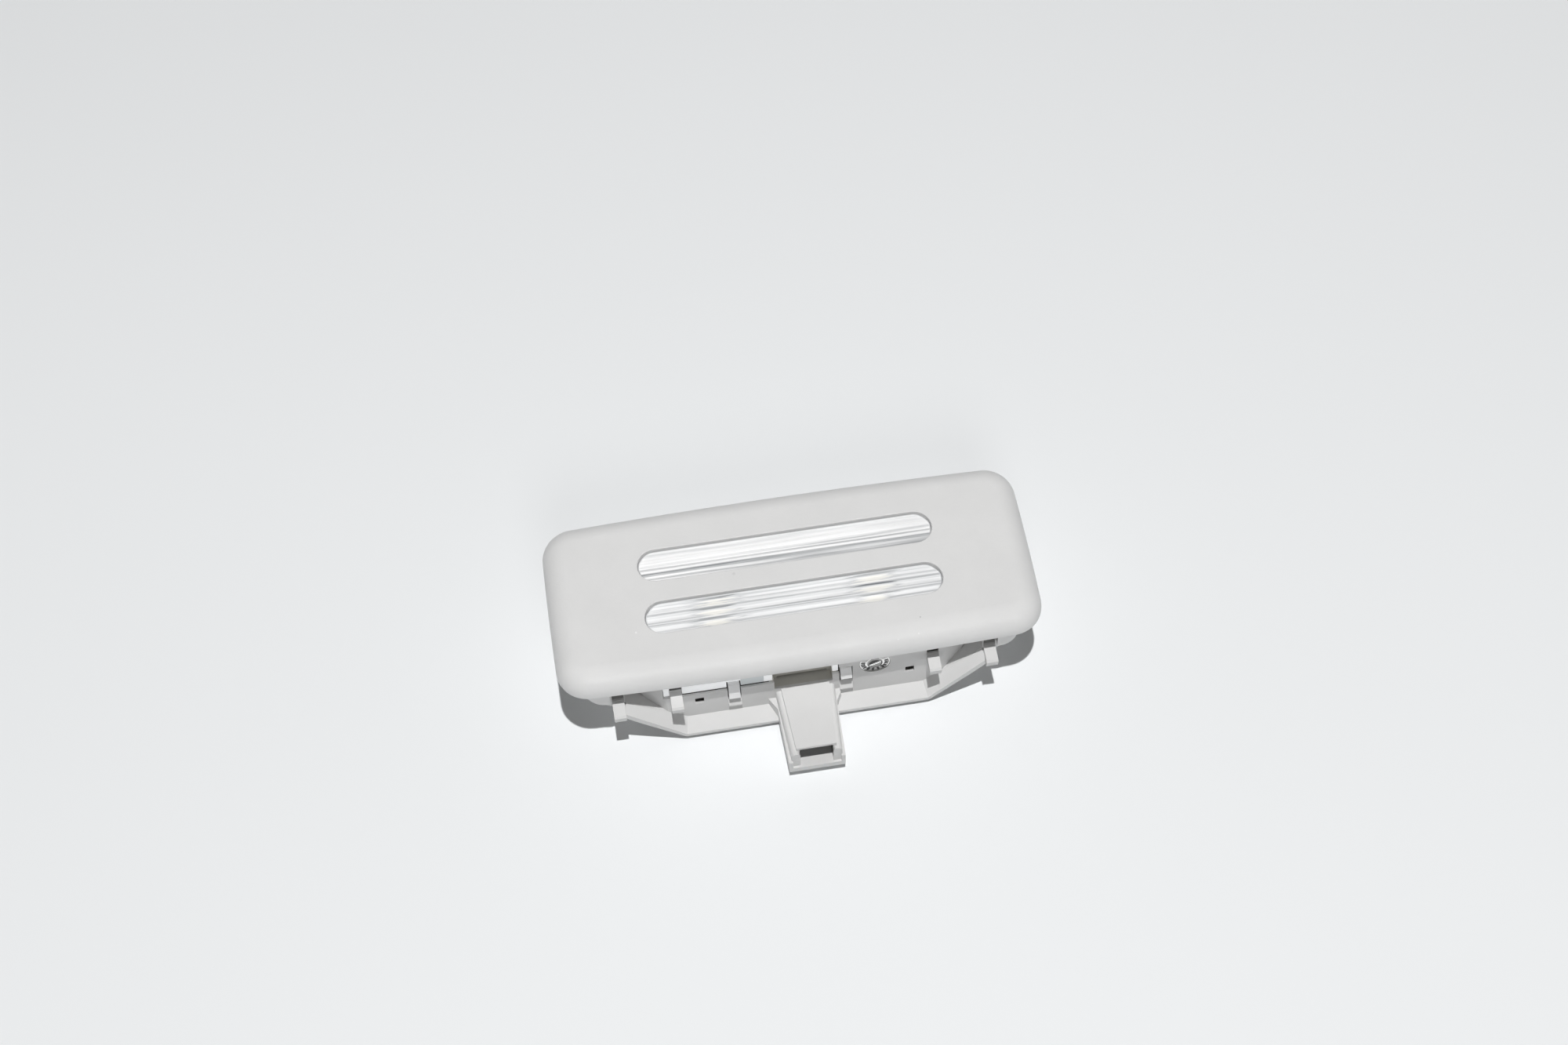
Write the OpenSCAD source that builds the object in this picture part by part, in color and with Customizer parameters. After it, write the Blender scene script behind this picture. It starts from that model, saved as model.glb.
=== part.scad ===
// Car interior light with two long windows, clipped into a headliner opening.
// It lies on its back: X is the long way, -Y is the connector side, +Z is the lit face.
// The origin is on the flat back, under the middle of the two windows.

/* [Bezel] */
// Length of the bezel over its bowed ends
bezel_l = 98; // [94:0.5:104]
// Width of the bezel over its bowed long sides
bezel_w = 39.4; // [38.6:0.2:43]
// Height of the bezel from its lower edge to the face
bezel_h = 5.5; // [5.2:0.1:6.5]
// Thickness of the bezel's skin
bezel_skin = 2; // [1.6:0.1:2.2]
// Corner radius of the bezel seen from above
corner_r = 6.5; // [5.5:0.5:9]
// Radius of the rounded shoulder round the face
shoulder_r = 4.7; // [3.6:0.1:4.9]
// Bow of each long side, from its ends to its middle
side_bow = 0.9; // [0.5:0.1:1.4]
// Bow of each short end, from its corners to its middle
end_bow = 0.3; // [0.2:0.1:0.6]

/* [End skirts] */
// Distance of an end skirt's face in from the end of the bezel
skirt_end_in = 4.7; // [4.2:0.1:5.2]
// Distance of an end skirt's face in from the side of the bezel
skirt_side_in = 1.3; // [1.1:0.1:1.5]
// Wall thickness of an end skirt
skirt_wall = 1.4; // [1:0.1:1.5]
// Outer corner radius of an end skirt
skirt_corner_r = 4.5; // [3:0.5:6]
// Depth of an end skirt below the bezel's lower edge
skirt_drop = 4.5; // [3:0.1:5.5]

/* [Windows] */
// Length of each window slot
slot_l = 60; // [52:1:64]
// Width of each window slot
slot_w = 7.3; // [6.4:0.1:8]
// Distance between the centre lines of the two slots
slot_pitch = 12; // [10.5:0.1:13]
// Depth of the lens below the face, seen in a slot
lens_recess = 0.8; // [0.5:0.1:1.2]
// Clearance between a lens bar and its slot, on each side
slot_clear = 0.15; // [0.1:0.05:0.3]

/* [Lens] */
// Distance of the lens's raised box in from each end of the housing
lens_box_in = 4.6; // [4:0.1:6]
// Thickness of the lens
lens_t = 1.4; // [1:0.1:1.6]
// Number of lengthwise grooves in each lens bar
flute_count = 3; // [2:1:6]
// Depth of the grooves
flute_depth = 0.25; // [0.15:0.05:0.35]
// Distance that the lens's front apron runs on beyond the left inner lug's middle
apron_beyond = 2.45; // [1.8:0.05:4]
// Depth of the apron below the housing's rim
apron_h = 5.5; // [4:0.1:6]

/* [Housing] */
// Height of the whole light from its back to its face
total_h = 25; // [24.6:0.1:27]
// Overhang of the bezel beyond the housing's long walls
overhang = 2.2; // [2:0.1:2.4]
// Outward lean of each long wall, over its height
wall_draft = 0.7; // [0.2:0.1:1]
// Wall thickness of the housing
wall_t = 1.5; // [1.2:0.1:1.7]
// Length of the flat back
back_l = 51.4; // [48:0.2:53]
// Angle of the sloping ends above the back
slope_angle = 39; // [37:1:41]
// Corner radius of the narrower ends
end_corner_r = 3; // [2:0.5:4]
// Depth of the stiffening recesses in the back
back_recess = 0.5; // [0.3:0.1:0.7]

/* [Front flange] */
// Height of the crease between the front wall and the flange
crease_z = 4.1; // [3.8:0.1:4.6]
// Reach of the flange beyond the front wall
flange_out = 3.2; // [2.8:0.1:4]
// Height of the flange's outer edge above the back
flange_edge_z = 2.4; // [2.2:0.1:2.8]
// Thickness of the flange
flange_t = 0.9; // [0.7:0.1:1.2]
// Amount that the flange narrows along each sloping end
flange_taper = 1.4; // [0.6:0.1:1.8]

/* [Lugs] */
// Distance between the inner and the outer lug at each end
lug_pitch = 11.55; // [10:0.05:12]
// Width of a lug
lug_w = 2.4; // [2:0.1:2.6]
// Reach of a lug beyond the front wall
lug_out = 3.9; // [3:0.1:5]
// Space for the headliner, from the bezel's lower edge to the lugs
grip_h = 4.8; // [4.6:0.1:5.4]
// Thickness of a lug at its root
lug_t = 2.4; // [1.8:0.1:2.6]
// Height of the slot over a lug's root
lug_slot_h = 2.2; // [1.2:0.1:2.4]

/* [Snap windows] */
// Position of the left front snap window
snap_left_x = -14.35; // [-15.5:0.05:-13]
// Position of the right front snap window
snap_right_x = 8.4; // [8.3:0.05:8.6]
// Distance of the rear snap windows from the middle
snap_rear_x = 14.35; // [12:0.05:15]
// Width of a snap window
snap_w = 2.7; // [2.5:0.1:2.8]
// Depth of a snap window's upper edge below the housing's rim
snap_drop = 3.7; // [3.4:0.1:4.4]
// Height of a snap window
snap_h = 7.4; // [6.6:0.1:7.6]
// Thickness of a snap arm on the bezel
arm_t = 1.1; // [0.8:0.1:1.2]
// Distance that a snap hook stands out of the wall's face
hook_out = 0.5; // [0.2:0.1:0.8]
// Height of a snap hook
hook_h = 4.8; // [4:0.1:5]
// Added height of the left front snap hook
hook_left_more = 1.2; // [0:0.1:1.6]

/* [Connector] */
// Width of the shroud at its mouth
shroud_w = 11.4; // [11:0.1:12.4]
// Added width of the shroud at its root
shroud_flare = 0.9; // [0.4:0.1:1.4]
// Width of the raised top of the shroud at the mouth
crown_w = 8.1; // [7.9:0.1:8.6]
// Added width of the raised top at its root
crown_flare = 1.8; // [1:0.1:2.2]
// Reach of the shroud beyond the front wall
shroud_out = 14.9; // [14:0.1:16.4]
// Height of the shroud's underside above the back
shroud_low = 2.2; // [1.8:0.1:2.4]
// Height of the shroud's side walls above its underside
cheek_h = 4; // [3.6:0.1:4.4]
// Height of the raised top above the shroud's underside
crown_h = 7.5; // [7.4:0.1:8]
// Amount that the raised top is cut back behind the mouth
mouth_cut = 1.3; // [1:0.1:2]
// Width of the rounded rail on each side of the raised top
rail_w = 1.8; // [1.6:0.1:2]
// Distance of the rails' tops below the raised top
rail_drop = 1; // [0.8:0.1:1.6]
// Width of the socket
socket_w = 6.7; // [6.2:0.1:6.8]
// Height of the socket
socket_h = 5.3; // [5:0.1:5.4]
// Depth of the socket behind the mouth
socket_d = 12.5; // [11.6:0.1:13]
// Thickness of the shroud's floor
shroud_floor = 1.5; // [1.2:0.1:1.6]

/* [Circuit] */
// Length of the circuit board
board_l = 66; // [60:1:67]
// Clearance between the circuit board and the recess wall in front of it
board_clear = 0.7; // [0.3:0.1:1.2]
// Thickness of the circuit board
board_t = 1.2; // [1:0.1:1.6]
// Depth of the board's underside below the housing's rim
board_drop = 7; // [6.4:0.1:7.4]
// Distance of each diode lamp from the middle
led_x = 16; // [12:0.5:20]
// Side of the square lamp package
led_size = 3.5; // [2.8:0.1:4]
// Height of the lamp package
led_h = 1.4; // [0.8:0.1:1.6]
// Side of a square terminal pin
pin_size = 0.64; // [0.5:0.02:0.8]
// Distance between the two terminal pins
pin_pitch = 2.54; // [2:0.02:3]

/* [Reflector] */
// Distance of the reflector in from each end of the lens's raised box
reflector_in = 3; // [2:0.5:5]
// Inward lean of the reflector's walls
reflector_lean = 4; // [3:0.2:5]
// Wall thickness of the reflector
reflector_t = 1; // [0.8:0.1:1.2]

/* [Spring clips] */
// Distance of each spring clip from the middle
clip_x = 26; // [22:0.5:29]
// Width of a spring clip
clip_w = 6; // [5:0.2:7]
// Thickness of the clip's steel
clip_t = 0.5; // [0.3:0.05:0.6]
// Reach of a spring clip beyond the rear wall
clip_out = 4.4; // [3.6:0.1:5]
// Height of a spring clip's lower bend above the back
clip_low = 5; // [4.6:0.1:6]
// Depth of a spring clip's upper end below the housing's rim
clip_drop = 1.6; // [1.2:0.1:2.4]

/* [Hidden] */
$fn = 96;
eps = 0.01;
gap = 0.2;

// Bezel outline: two pairs of large arcs joined by four corner arcs
edge_z = total_h - bezel_h;
side_r = pow(bezel_l / 2, 2) / (2 * side_bow) + side_bow / 2;
end_r = pow(bezel_w / 2, 2) / (2 * end_bow) + end_bow / 2;
side_back = side_r - bezel_w / 2;
end_back = end_r - bezel_l / 2;
side_reach = side_r - corner_r;
end_reach = end_r - corner_r;
line_k = end_back / side_back;
line_c = (pow(side_reach, 2) - pow(end_reach, 2) - pow(side_back, 2) + pow(end_back, 2)) / (2 * side_back);
quad_a = 1 + pow(line_k, 2);
quad_b = 2 * (end_back + line_c * line_k);
quad_c = pow(end_back, 2) + pow(line_c, 2) - pow(end_reach, 2);
corner_x = (-quad_b + sqrt(pow(quad_b, 2) - 4 * quad_a * quad_c)) / (2 * quad_a);
corner_y = line_c + line_k * corner_x;
side_angle = atan2(corner_x, corner_y + side_back);
end_angle = atan2(corner_y, corner_x + end_back);
end_steps = 4;
corner_steps = 10;
side_steps = 10;
shoulder_steps = 9;

// Heights inside the light
face_low = total_h - bezel_skin;
lens_top = face_low - gap;
lens_plate_low = lens_top - lens_t;
foot_clear = 0.1;
rim_z = edge_z - lens_t - foot_clear;
lens_flange_top = rim_z + lens_t;
apron_low = rim_z - apron_h;
lug_low = edge_z - grip_h - lug_t;
snap_high = rim_z - snap_drop;
snap_low = snap_high - snap_h;
clip_high = rim_z - clip_drop;
board_z = rim_z - board_drop;
board_top = board_z + board_t;
reflector_low = board_top;

// Front and rear wall faces, which lean out towards the back
wall_rim_y = bezel_w / 2 - overhang;
wall_back_y = wall_rim_y + wall_draft;
function wall_y(z) = wall_back_y - wall_draft * z / rim_z;
inner_y = wall_rim_y - wall_t;
skirt_l = bezel_l - 2 * skirt_end_in;
skirt_w = bezel_w - 2 * skirt_side_in;
skirt_clear = 0.3;
body_l = skirt_l - 2 * skirt_wall - 2 * skirt_clear;
end_w = skirt_w - 2 * skirt_wall - 2 * skirt_clear;
main_end_in = 0.9;
main_l = skirt_l - 2 * skirt_corner_r - 2 * main_end_in;
lug_end_in = 0.1;
lug_outer_x = main_l / 2 - lug_w / 2 - lug_end_in;
lug_inner_x = lug_outer_x - lug_pitch;
apron_left = -lug_inner_x - apron_beyond;
floor_t = wall_t + back_recess;
apron_clear = 0.2;
apron_right = snap_right_x - snap_w / 2 - apron_clear;

// Snap arms stand just inside the housing's walls
arm_out_y = inner_y - 0.25;
hook_high = snap_high - 0.25;
snap_places = [
    [snap_left_x, -1, hook_h + hook_left_more],
    [snap_right_x, -1, hook_h],
    [-snap_rear_x, 1, hook_h],
    [snap_rear_x, 1, hook_h]
];

// Recess over the connector
recess_x1 = -6.2;
recess_x2 = 5.6;
recess_low = shroud_low + crown_h + 0.2;
recess_d = 2;
recess_wall = 1;

// Board, reflector and lens, each fitted to the one before
board_w = 2 * (wall_rim_y - recess_d - recess_wall - board_clear);
reflector_side_in = 0.8;
reflector_w = board_w - 2 * reflector_side_in;
lens_box_l = body_l - 2 * lens_box_in;
lens_box_w = reflector_w + 2;
reflector_l = lens_box_l - 2 * reflector_in;

// Pockets between the lugs
pocket_d = 2.4;
pocket_wall = 0.9;
pocket_mid = (lug_inner_x + lug_outer_x) / 2;
pocket_l = lug_outer_x - lug_inner_x + 1;
function pocket_z(x) = crease_z / cos(slope_angle) + (x - back_l / 2) * tan(slope_angle) + 0.1;

// Board supports
post_x = 29;
post_r = 2;
peg_r = 0.8;
post_in = 3.4;
post_y = board_w / 2 - post_in;
board_front_y = -board_w / 2;

// Small parts under the board: length, width and height of each kind
resistor_size = [3.2, 1.6, 0.6];
diode_size = [4.3, 2.6, 2.1];
capacitor_size = [3.2, 1.6, 1.2];
transistor_size = [6.5, 3.5, 1.6];
resistor_x = led_x + 6;
resistor_pitch = 4;
diode_x = led_x / 2;
chip_front_y = -6;
chip_rear_y = 3;

// Connector
shroud_root_y = -wall_rim_y;
shroud_tip_y = -wall_y(shroud_low) - shroud_out;
crown_tip_y = shroud_tip_y + mouth_cut;
rail_tip_in = 0.5;
rail_tip_y = shroud_tip_y + rail_tip_in;
socket_low = shroud_low + shroud_floor;
socket_end_y = shroud_tip_y + socket_d;
pin_z = socket_low + socket_h / 2;
pin_rise_in = 1.6;
pin_rise_y = board_front_y + pin_rise_in;
pin_cover = 5.7;
pin_tip_y = shroud_tip_y + pin_cover;
dial_x = 14.3;
dial_r = 3.2;
dial_z = rim_z - dial_r - 0.8;
peep_x = lug_inner_x - 4.6;
peep_z = 9.8;
peep_w = 1.8;

// General shapes

// Box from one corner to the opposite one
module block(low, high) {
    translate(low)
        cube([for (i = [0:2]) high[i] - low[i]]);
}

// Upright rounded block on a rectangle centred on the origin
module round_block(l, w, r, z1, z2) {
    translate([0, 0, z1])
        linear_extrude(z2 - z1)
            union() {
                square([l - 2 * r, w], center = true);
                square([l, w - 2 * r], center = true);
                for (sx = [-1, 1], sy = [-1, 1])
                    translate([sx * (l / 2 - r), sy * (w / 2 - r)])
                        circle(r);
            }
}

// Upright stadium centred on the origin
module stadium(l, w, z1, z2) {
    translate([0, 0, z1])
        linear_extrude(z2 - z1)
            union() {
                square([l - w, w], center = true);
                for (sx = [-1, 1])
                    translate([sx * (l - w) / 2, 0])
                        circle(w / 2);
            }
}

// Prism along X from an outline in Y and Z
module along_x(x1, x2) {
    translate([x1, 0, 0])
        rotate([90, 0, 90])
            linear_extrude(x2 - x1)
                children();
}

// Prism along Y from an outline in X and Z
module along_y(y1, y2) {
    translate([0, y2, 0])
        rotate([90, 0, 0])
            linear_extrude(y2 - y1)
                children();
}

// Bezel

// Points round the bezel seen from above, drawn in by inset
function bezel_quarter(inset) = concat(
    [for (i = [0:end_steps - 1])
        let (a = end_angle * i / end_steps)
            [(end_r - inset) * cos(a) - end_back, (end_r - inset) * sin(a)]],
    [for (i = [0:corner_steps])
        let (a = end_angle + (90 - end_angle - side_angle) * i / corner_steps)
            [corner_x + (corner_r - inset) * cos(a), corner_y + (corner_r - inset) * sin(a)]],
    [for (i = [side_steps - 1:-1:1])
        let (a = side_angle * i / side_steps)
            [(side_r - inset) * sin(a), (side_r - inset) * cos(a) - side_back]]
);
function bezel_half(inset) =
    let (q = bezel_quarter(inset))
        concat(q, [[0, bezel_w / 2 - inset]], [for (i = [len(q) - 1:-1:1]) [-q[i][0], q[i][1]]]);
function bezel_outline(inset) =
    let (h = bezel_half(inset))
        concat(h, [for (p = h) -p]);

// Insets and heights of the outline from the lower edge up over the shoulder
bezel_levels = concat(
    [[0, 0]],
    [for (i = [0:shoulder_steps])
        let (a = 90 * i / shoulder_steps)
            [shoulder_r * (1 - cos(a)), bezel_h - shoulder_r * (1 - sin(a))]]
);

// Solid outside of the bezel with its rounded shoulder
module bezel_outside() {
    rings = [for (level = bezel_levels) [for (p = bezel_outline(level[0])) [p[0], p[1], level[1]]]];
    n = len(rings[0]);
    top = len(rings) - 1;
    polyhedron(
        points = [for (ring = rings) for (p = ring) p],
        faces = concat(
            [[for (i = [0:n - 1]) i]],
            [[for (i = [n - 1:-1:0]) top * n + i]],
            [for (k = [0:top - 1]) for (i = [0:n - 1])
                [k * n + i, (k + 1) * n + i, (k + 1) * n + (i + 1) % n]],
            [for (k = [0:top - 1]) for (i = [0:n - 1])
                [k * n + i, (k + 1) * n + (i + 1) % n, k * n + (i + 1) % n]]
        )
    );
}

// Stepped hollow under the bezel's face
module bezel_hollow() {
    low_l = bezel_l - 2 * end_bow - 2 * bezel_skin;
    low_w = bezel_w - 2 * side_bow - 2 * bezel_skin;
    step_z = edge_z + bezel_h - shoulder_r + 1.4;
    step_in = 1.6;
    r = corner_r - bezel_skin;
    round_block(low_l, low_w, r, edge_z - 1, step_z);
    round_block(low_l - 2 * step_in, low_w - 2 * step_in, r - step_in / 2, edge_z - 1, face_low);
}

// C-shaped wall that stands under each end of the bezel
module end_skirts() {
    low = edge_z - skirt_drop;
    difference() {
        round_block(skirt_l, skirt_w, skirt_corner_r, low, edge_z + 1.2);
        round_block(skirt_l - 2 * skirt_wall, skirt_w - 2 * skirt_wall, skirt_corner_r - skirt_wall,
            low - 1, edge_z + 2);
        block([-main_l / 2 - 0.2, -bezel_w, 0], [main_l / 2 + 0.2, bezel_w, total_h]);
    }
    for (s = [0, 1])
        mirror([s, 0, 0])
            block([skirt_l / 2 - skirt_wall, -skirt_w / 2 + skirt_corner_r, low],
                [skirt_l / 2, skirt_w / 2 - skirt_corner_r, face_low + 0.5]);
}

// Arm with a hook that reaches through the housing's wall on the -Y side
module snap_arm(height) {
    hook_y = wall_y(snap_low) + hook_out;
    hook_low = hook_high - height;
    along_x(-(snap_w - 0.4) / 2, (snap_w - 0.4) / 2)
        polygon([
            [-arm_out_y, face_low + 0.5],
            [-arm_out_y, hook_high],
            [-hook_y + 0.3, hook_high],
            [-hook_y, hook_high - 0.5],
            [-hook_y, hook_low + 1.6],
            [-arm_out_y - 0.4, hook_low],
            [-arm_out_y + arm_t, hook_low],
            [-arm_out_y + arm_t, face_low + 0.5]
        ]);
}

module bezel() color([0.85, 0.85, 0.84]) {
    difference() {
        union() {
            difference() {
                translate([0, 0, edge_z])
                    bezel_outside();
                bezel_hollow();
            }
            end_skirts();
            for (place = snap_places)
                translate([place[0], 0, 0])
                    mirror([0, place[1] > 0 ? 1 : 0, 0])
                        snap_arm(place[2]);
        }
        for (sy = [-1, 1])
            translate([0, sy * slot_pitch / 2, 0])
                stadium(slot_l, slot_w, face_low - 1, total_h + 1);
    }
}

// Lens

// Grooved bar that fills one window slot
module lens_bar() {
    bar_l = slot_l - 2 * slot_clear;
    bar_w = slot_w - 2 * slot_clear;
    top = total_h - lens_recess;
    pitch = bar_w / flute_count;
    half = 0.36 * pitch;
    flute_r = (pow(half, 2) + pow(flute_depth, 2)) / (2 * flute_depth);
    difference() {
        stadium(bar_l, bar_w, lens_plate_low + 0.5, top);
        for (i = [0:flute_count - 1])
            translate([0, (i - (flute_count - 1) / 2) * pitch, top - flute_depth + flute_r])
                rotate([0, 90, 0])
                    cylinder(r = flute_r, h = bar_l + 2, center = true);
    }
}

module lens() color([0.93, 0.95, 0.96]) {
    foot_y = wall_rim_y - 0.5;
    difference() {
        union() {
            round_block(lens_box_l, lens_box_w, 3, rim_z, lens_top);
            round_block(body_l - 1, end_w - 1, end_corner_r - 0.5, rim_z, lens_flange_top);
            block([-main_l / 2 + 0.5, -foot_y, rim_z], [main_l / 2 - 0.5, foot_y, lens_flange_top]);
            block([apron_left, -wall_rim_y + 0.3, apron_low], [apron_right, -wall_rim_y + 1.5, lens_flange_top]);
            block([apron_left, -wall_rim_y + 0.3, rim_z], [apron_right, -wall_rim_y + 2, lens_flange_top]);
        }
        round_block(lens_box_l - 2 * lens_t, lens_box_w - 2 * lens_t, 3 - lens_t, rim_z - 1, lens_plate_low);
        for (place = snap_places)
            translate([place[0], place[1] * (arm_out_y - arm_t / 2), 0])
                block([-snap_w / 2 - 0.1, -arm_t / 2 - 0.3, 0], [snap_w / 2 + 0.1, arm_t / 2 + 0.3, lens_flange_top + 1]);
        block([snap_left_x - snap_w / 2 - 0.1, -wall_rim_y, 0],
            [snap_left_x + snap_w / 2 + 0.1, -arm_out_y, snap_high + 0.3]);
        block([-lug_inner_x - lug_w / 2 - 0.1, -wall_rim_y, 0],
            [-lug_inner_x + lug_w / 2 + 0.1, -arm_out_y, lug_low + lug_t + lug_slot_h]);
        block([recess_x1 - 0.3, -wall_rim_y, 0], [recess_x2 + 0.1, -wall_rim_y + 1.5 + eps, rim_z - 1.2]);
    }
    for (sy = [-1, 1])
        translate([0, sy * slot_pitch / 2, 0])
            lens_bar();
}

// Housing

// Height of the sloping end's line at x, with the line moved in by t
function slope_z(x, t) = (x - back_l / 2 + t / sin(slope_angle)) * tan(slope_angle);

// Outline of the housing in X and Z, drawn in by t on every side but the top
module side_outline(t, low, top) {
    x1 = back_l / 2 - t / sin(slope_angle) + low / tan(slope_angle);
    x2 = body_l / 2 - t;
    polygon([
        [-x1, low], [x1, low], [x2, slope_z(x2, t)], [x2, top],
        [-x2, top], [-x2, slope_z(x2, t)]
    ]);
}

// Window for a snap hook in the -Y wall, with a ramp that leads up to it
module snap_window() {
    ramp_d = 1;
    block([-snap_w / 2, -wall_back_y - 1, snap_low], [snap_w / 2, -inner_y + 1, snap_high]);
    along_x(-snap_w / 2, snap_w / 2)
        polygon([
            [-wall_y(crease_z), crease_z + 0.1],
            [-wall_y(snap_low) + ramp_d, snap_low + eps],
            [-wall_back_y - 0.5, snap_low + eps],
            [-wall_back_y - 0.5, crease_z + 0.1]
        ]);
}

// Body with leaning long walls and narrower ends, drawn in by t
module body_form(t, low, top) {
    intersection() {
        along_y(-bezel_w, bezel_w)
            side_outline(t, low, top);
        union() {
            along_x(-main_l / 2 + t, main_l / 2 - t)
                polygon([
                    [-wall_back_y + t, 0], [wall_back_y - t, 0],
                    [wall_y(top) - t, top + 1], [-wall_y(top) + t, top + 1]
                ]);
            round_block(body_l - 2 * t, end_w - 2 * t, end_corner_r - t, 0, top + 1);
        }
    }
}

// Section of the front flange, measured from the housing's lower line
module flange_section() {
    root_y = wall_y(crease_z);
    edge_y = root_y + flange_out;
    polygon([
        [-root_y + wall_t / 2, crease_z],
        [-root_y, crease_z],
        [-edge_y, flange_edge_z],
        [-edge_y, flange_edge_z - flange_t],
        [-edge_y + flange_t, flange_edge_z - flange_t],
        [-root_y, crease_z - flange_t * 1.5],
        [-root_y + wall_t / 2, crease_z - flange_t * 1.5]
    ]);
}

// Flange along the flat back and up both sloping ends, mitred where they meet
module front_flange() {
    edge_y = wall_y(crease_z) + flange_out;
    end_x = lug_outer_x + 0.3;
    arm_l = (end_x - back_l / 2) / cos(slope_angle) + 1;
    corner_x2 = back_l / 2;
    lean = tan(slope_angle / 2);
    lap = 0.02;
    intersection() {
        union() {
            intersection() {
                along_x(-corner_x2, corner_x2)
                    flange_section();
                along_y(-bezel_w, 0)
                    polygon([
                        [-corner_x2, 0], [corner_x2, 0],
                        [corner_x2 - rim_z * lean + lap, rim_z], [-corner_x2 + rim_z * lean - lap, rim_z]
                    ]);
            }
            for (s = [0, 1])
                mirror([s, 0, 0])
                    intersection() {
                        translate([corner_x2, 0, 0])
                            rotate([0, -slope_angle, 0])
                                along_x(-2 * crease_z, arm_l)
                                    flange_section();
                        along_y(-bezel_w, 0)
                            polygon([
                                [corner_x2, 0], [end_x, (end_x - corner_x2) * tan(slope_angle)],
                                [end_x, rim_z], [corner_x2 - rim_z * lean, rim_z]
                            ]);
                    }
        }
        linear_extrude(total_h)
            polygon([
                [-end_x, -edge_y + flange_taper], [-corner_x2 + 0.8, -edge_y], [corner_x2 - 0.8, -edge_y],
                [end_x, -edge_y + flange_taper], [end_x, 0], [-end_x, 0]
            ]);
    }
}

// Pocket in the front wall between two lugs, cut through at its outer lower corner
module side_pocket() {
    x1 = lug_inner_x + lug_w / 2 + 0.8;
    x2 = lug_outer_x - lug_w / 2 - 0.1;
    low1 = pocket_z(x1);
    low2 = pocket_z(x2);
    high = rim_z - 1.2;
    ramp_l = 5;
    intersection() {
        along_y(-wall_back_y - 1, -wall_rim_y + pocket_d)
            polygon([[x1, low1], [x2, low2], [x2, high], [x1, high]]);
        linear_extrude(total_h)
            polygon([
                [x1, -wall_back_y - 2], [x2 + 1, -wall_back_y - 2], [x2 + 1, -wall_rim_y + pocket_d + 1],
                [x1 + ramp_l, -wall_rim_y + pocket_d + 1], [x1 + ramp_l, -wall_rim_y + pocket_d - 0.1],
                [x1, -wall_rim_y - 0.4]
            ]);
    }
    along_y(-wall_rim_y, -wall_rim_y + pocket_d + pocket_wall + 1)
        polygon([[x2 - 4, pocket_z(x2 - 4)], [x2, low2], [x2, high - 0.8]]);
}

// Lug that catches under the edge of the headliner opening
module lug() {
    tip_y = wall_rim_y + lug_out;
    top = lug_low + lug_t;
    along_x(-lug_w / 2, lug_w / 2)
        polygon([
            [-wall_rim_y + wall_t / 2, lug_low], [-wall_rim_y + wall_t / 2, top], [-tip_y + 0.4, top - 0.4],
            [-tip_y, top - 0.8], [-tip_y + 0.2, lug_low]
        ]);
}

// Plan of the connector shroud, w wide at the tip and wider at the root
module shroud_plan(w, flare, tip_y, z1, z2) {
    translate([0, 0, z1])
        linear_extrude(z2 - z1)
            polygon([
                [-w / 2, tip_y], [w / 2, tip_y],
                [w / 2 + flare / 2, shroud_root_y], [-w / 2 - flare / 2, shroud_root_y]
            ]);
}

// Rounded rail along one side of the raised top
module shroud_rail() {
    rail_r = rail_w / 2;
    rail_top = shroud_low + crown_h - rail_drop;
    tip_x = socket_w / 2 + rail_r;
    root_x = tip_x + crown_flare / 2;
    run_y = shroud_root_y - rail_tip_y;
    turn = atan2(root_x - tip_x, run_y);
    translate([tip_x, rail_tip_y, 0])
        rotate([0, 0, -turn])
            along_y(0, run_y + 0.5)
                polygon(concat(
                    [[-rail_r, shroud_low + 0.2], [rail_r, shroud_low + 0.2]],
                    [for (a = [0:22.5:180]) [rail_r * cos(a), rail_top - rail_r * (1 - sin(a))]]
                ));
}

// Solid outside of the connector shroud with its two gussets
module shroud_outside() {
    gusset_z = shroud_low + cheek_h;
    gusset_x = shroud_w / 2 + shroud_flare / 2;
    shroud_plan(shroud_w, shroud_flare, shroud_tip_y, shroud_low, gusset_z);
    shroud_plan(crown_w, crown_flare, crown_tip_y, shroud_low, shroud_low + crown_h);
    for (sx = [0, 1])
        mirror([sx, 0, 0])
            shroud_rail();
    for (sx = [0, 1])
        mirror([sx, 0, 0])
            translate([0, 0, shroud_low])
                linear_extrude(cheek_h)
                    polygon([
                        [gusset_x - 1.4, shroud_root_y], [gusset_x + 1.6, shroud_root_y - 0.2],
                        [gusset_x - 0.1, shroud_root_y - 3.2], [gusset_x - 1.4, shroud_root_y - 3.2]
                    ]);
}

// Room for the plug and slots for the pins
module shroud_inside() {
    tip_wall = 0.8;
    block([-socket_w / 2, shroud_tip_y - 1, socket_low], [socket_w / 2, socket_end_y, socket_low + socket_h]);
    block([-shroud_w / 2 + tip_wall, shroud_tip_y - 1, socket_low],
        [shroud_w / 2 - tip_wall, rail_tip_y, shroud_low + cheek_h + 1]);
}

// Posts that carry the circuit board, with pegs through it
module board_posts() {
    for (sx = [-1, 1], sy = [-1, 1])
        translate([sx * post_x, sy * post_y, 0]) {
            cylinder(r = post_r, h = board_z);
            cylinder(r = peg_r, h = board_top + 0.2);
        }
}

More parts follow.
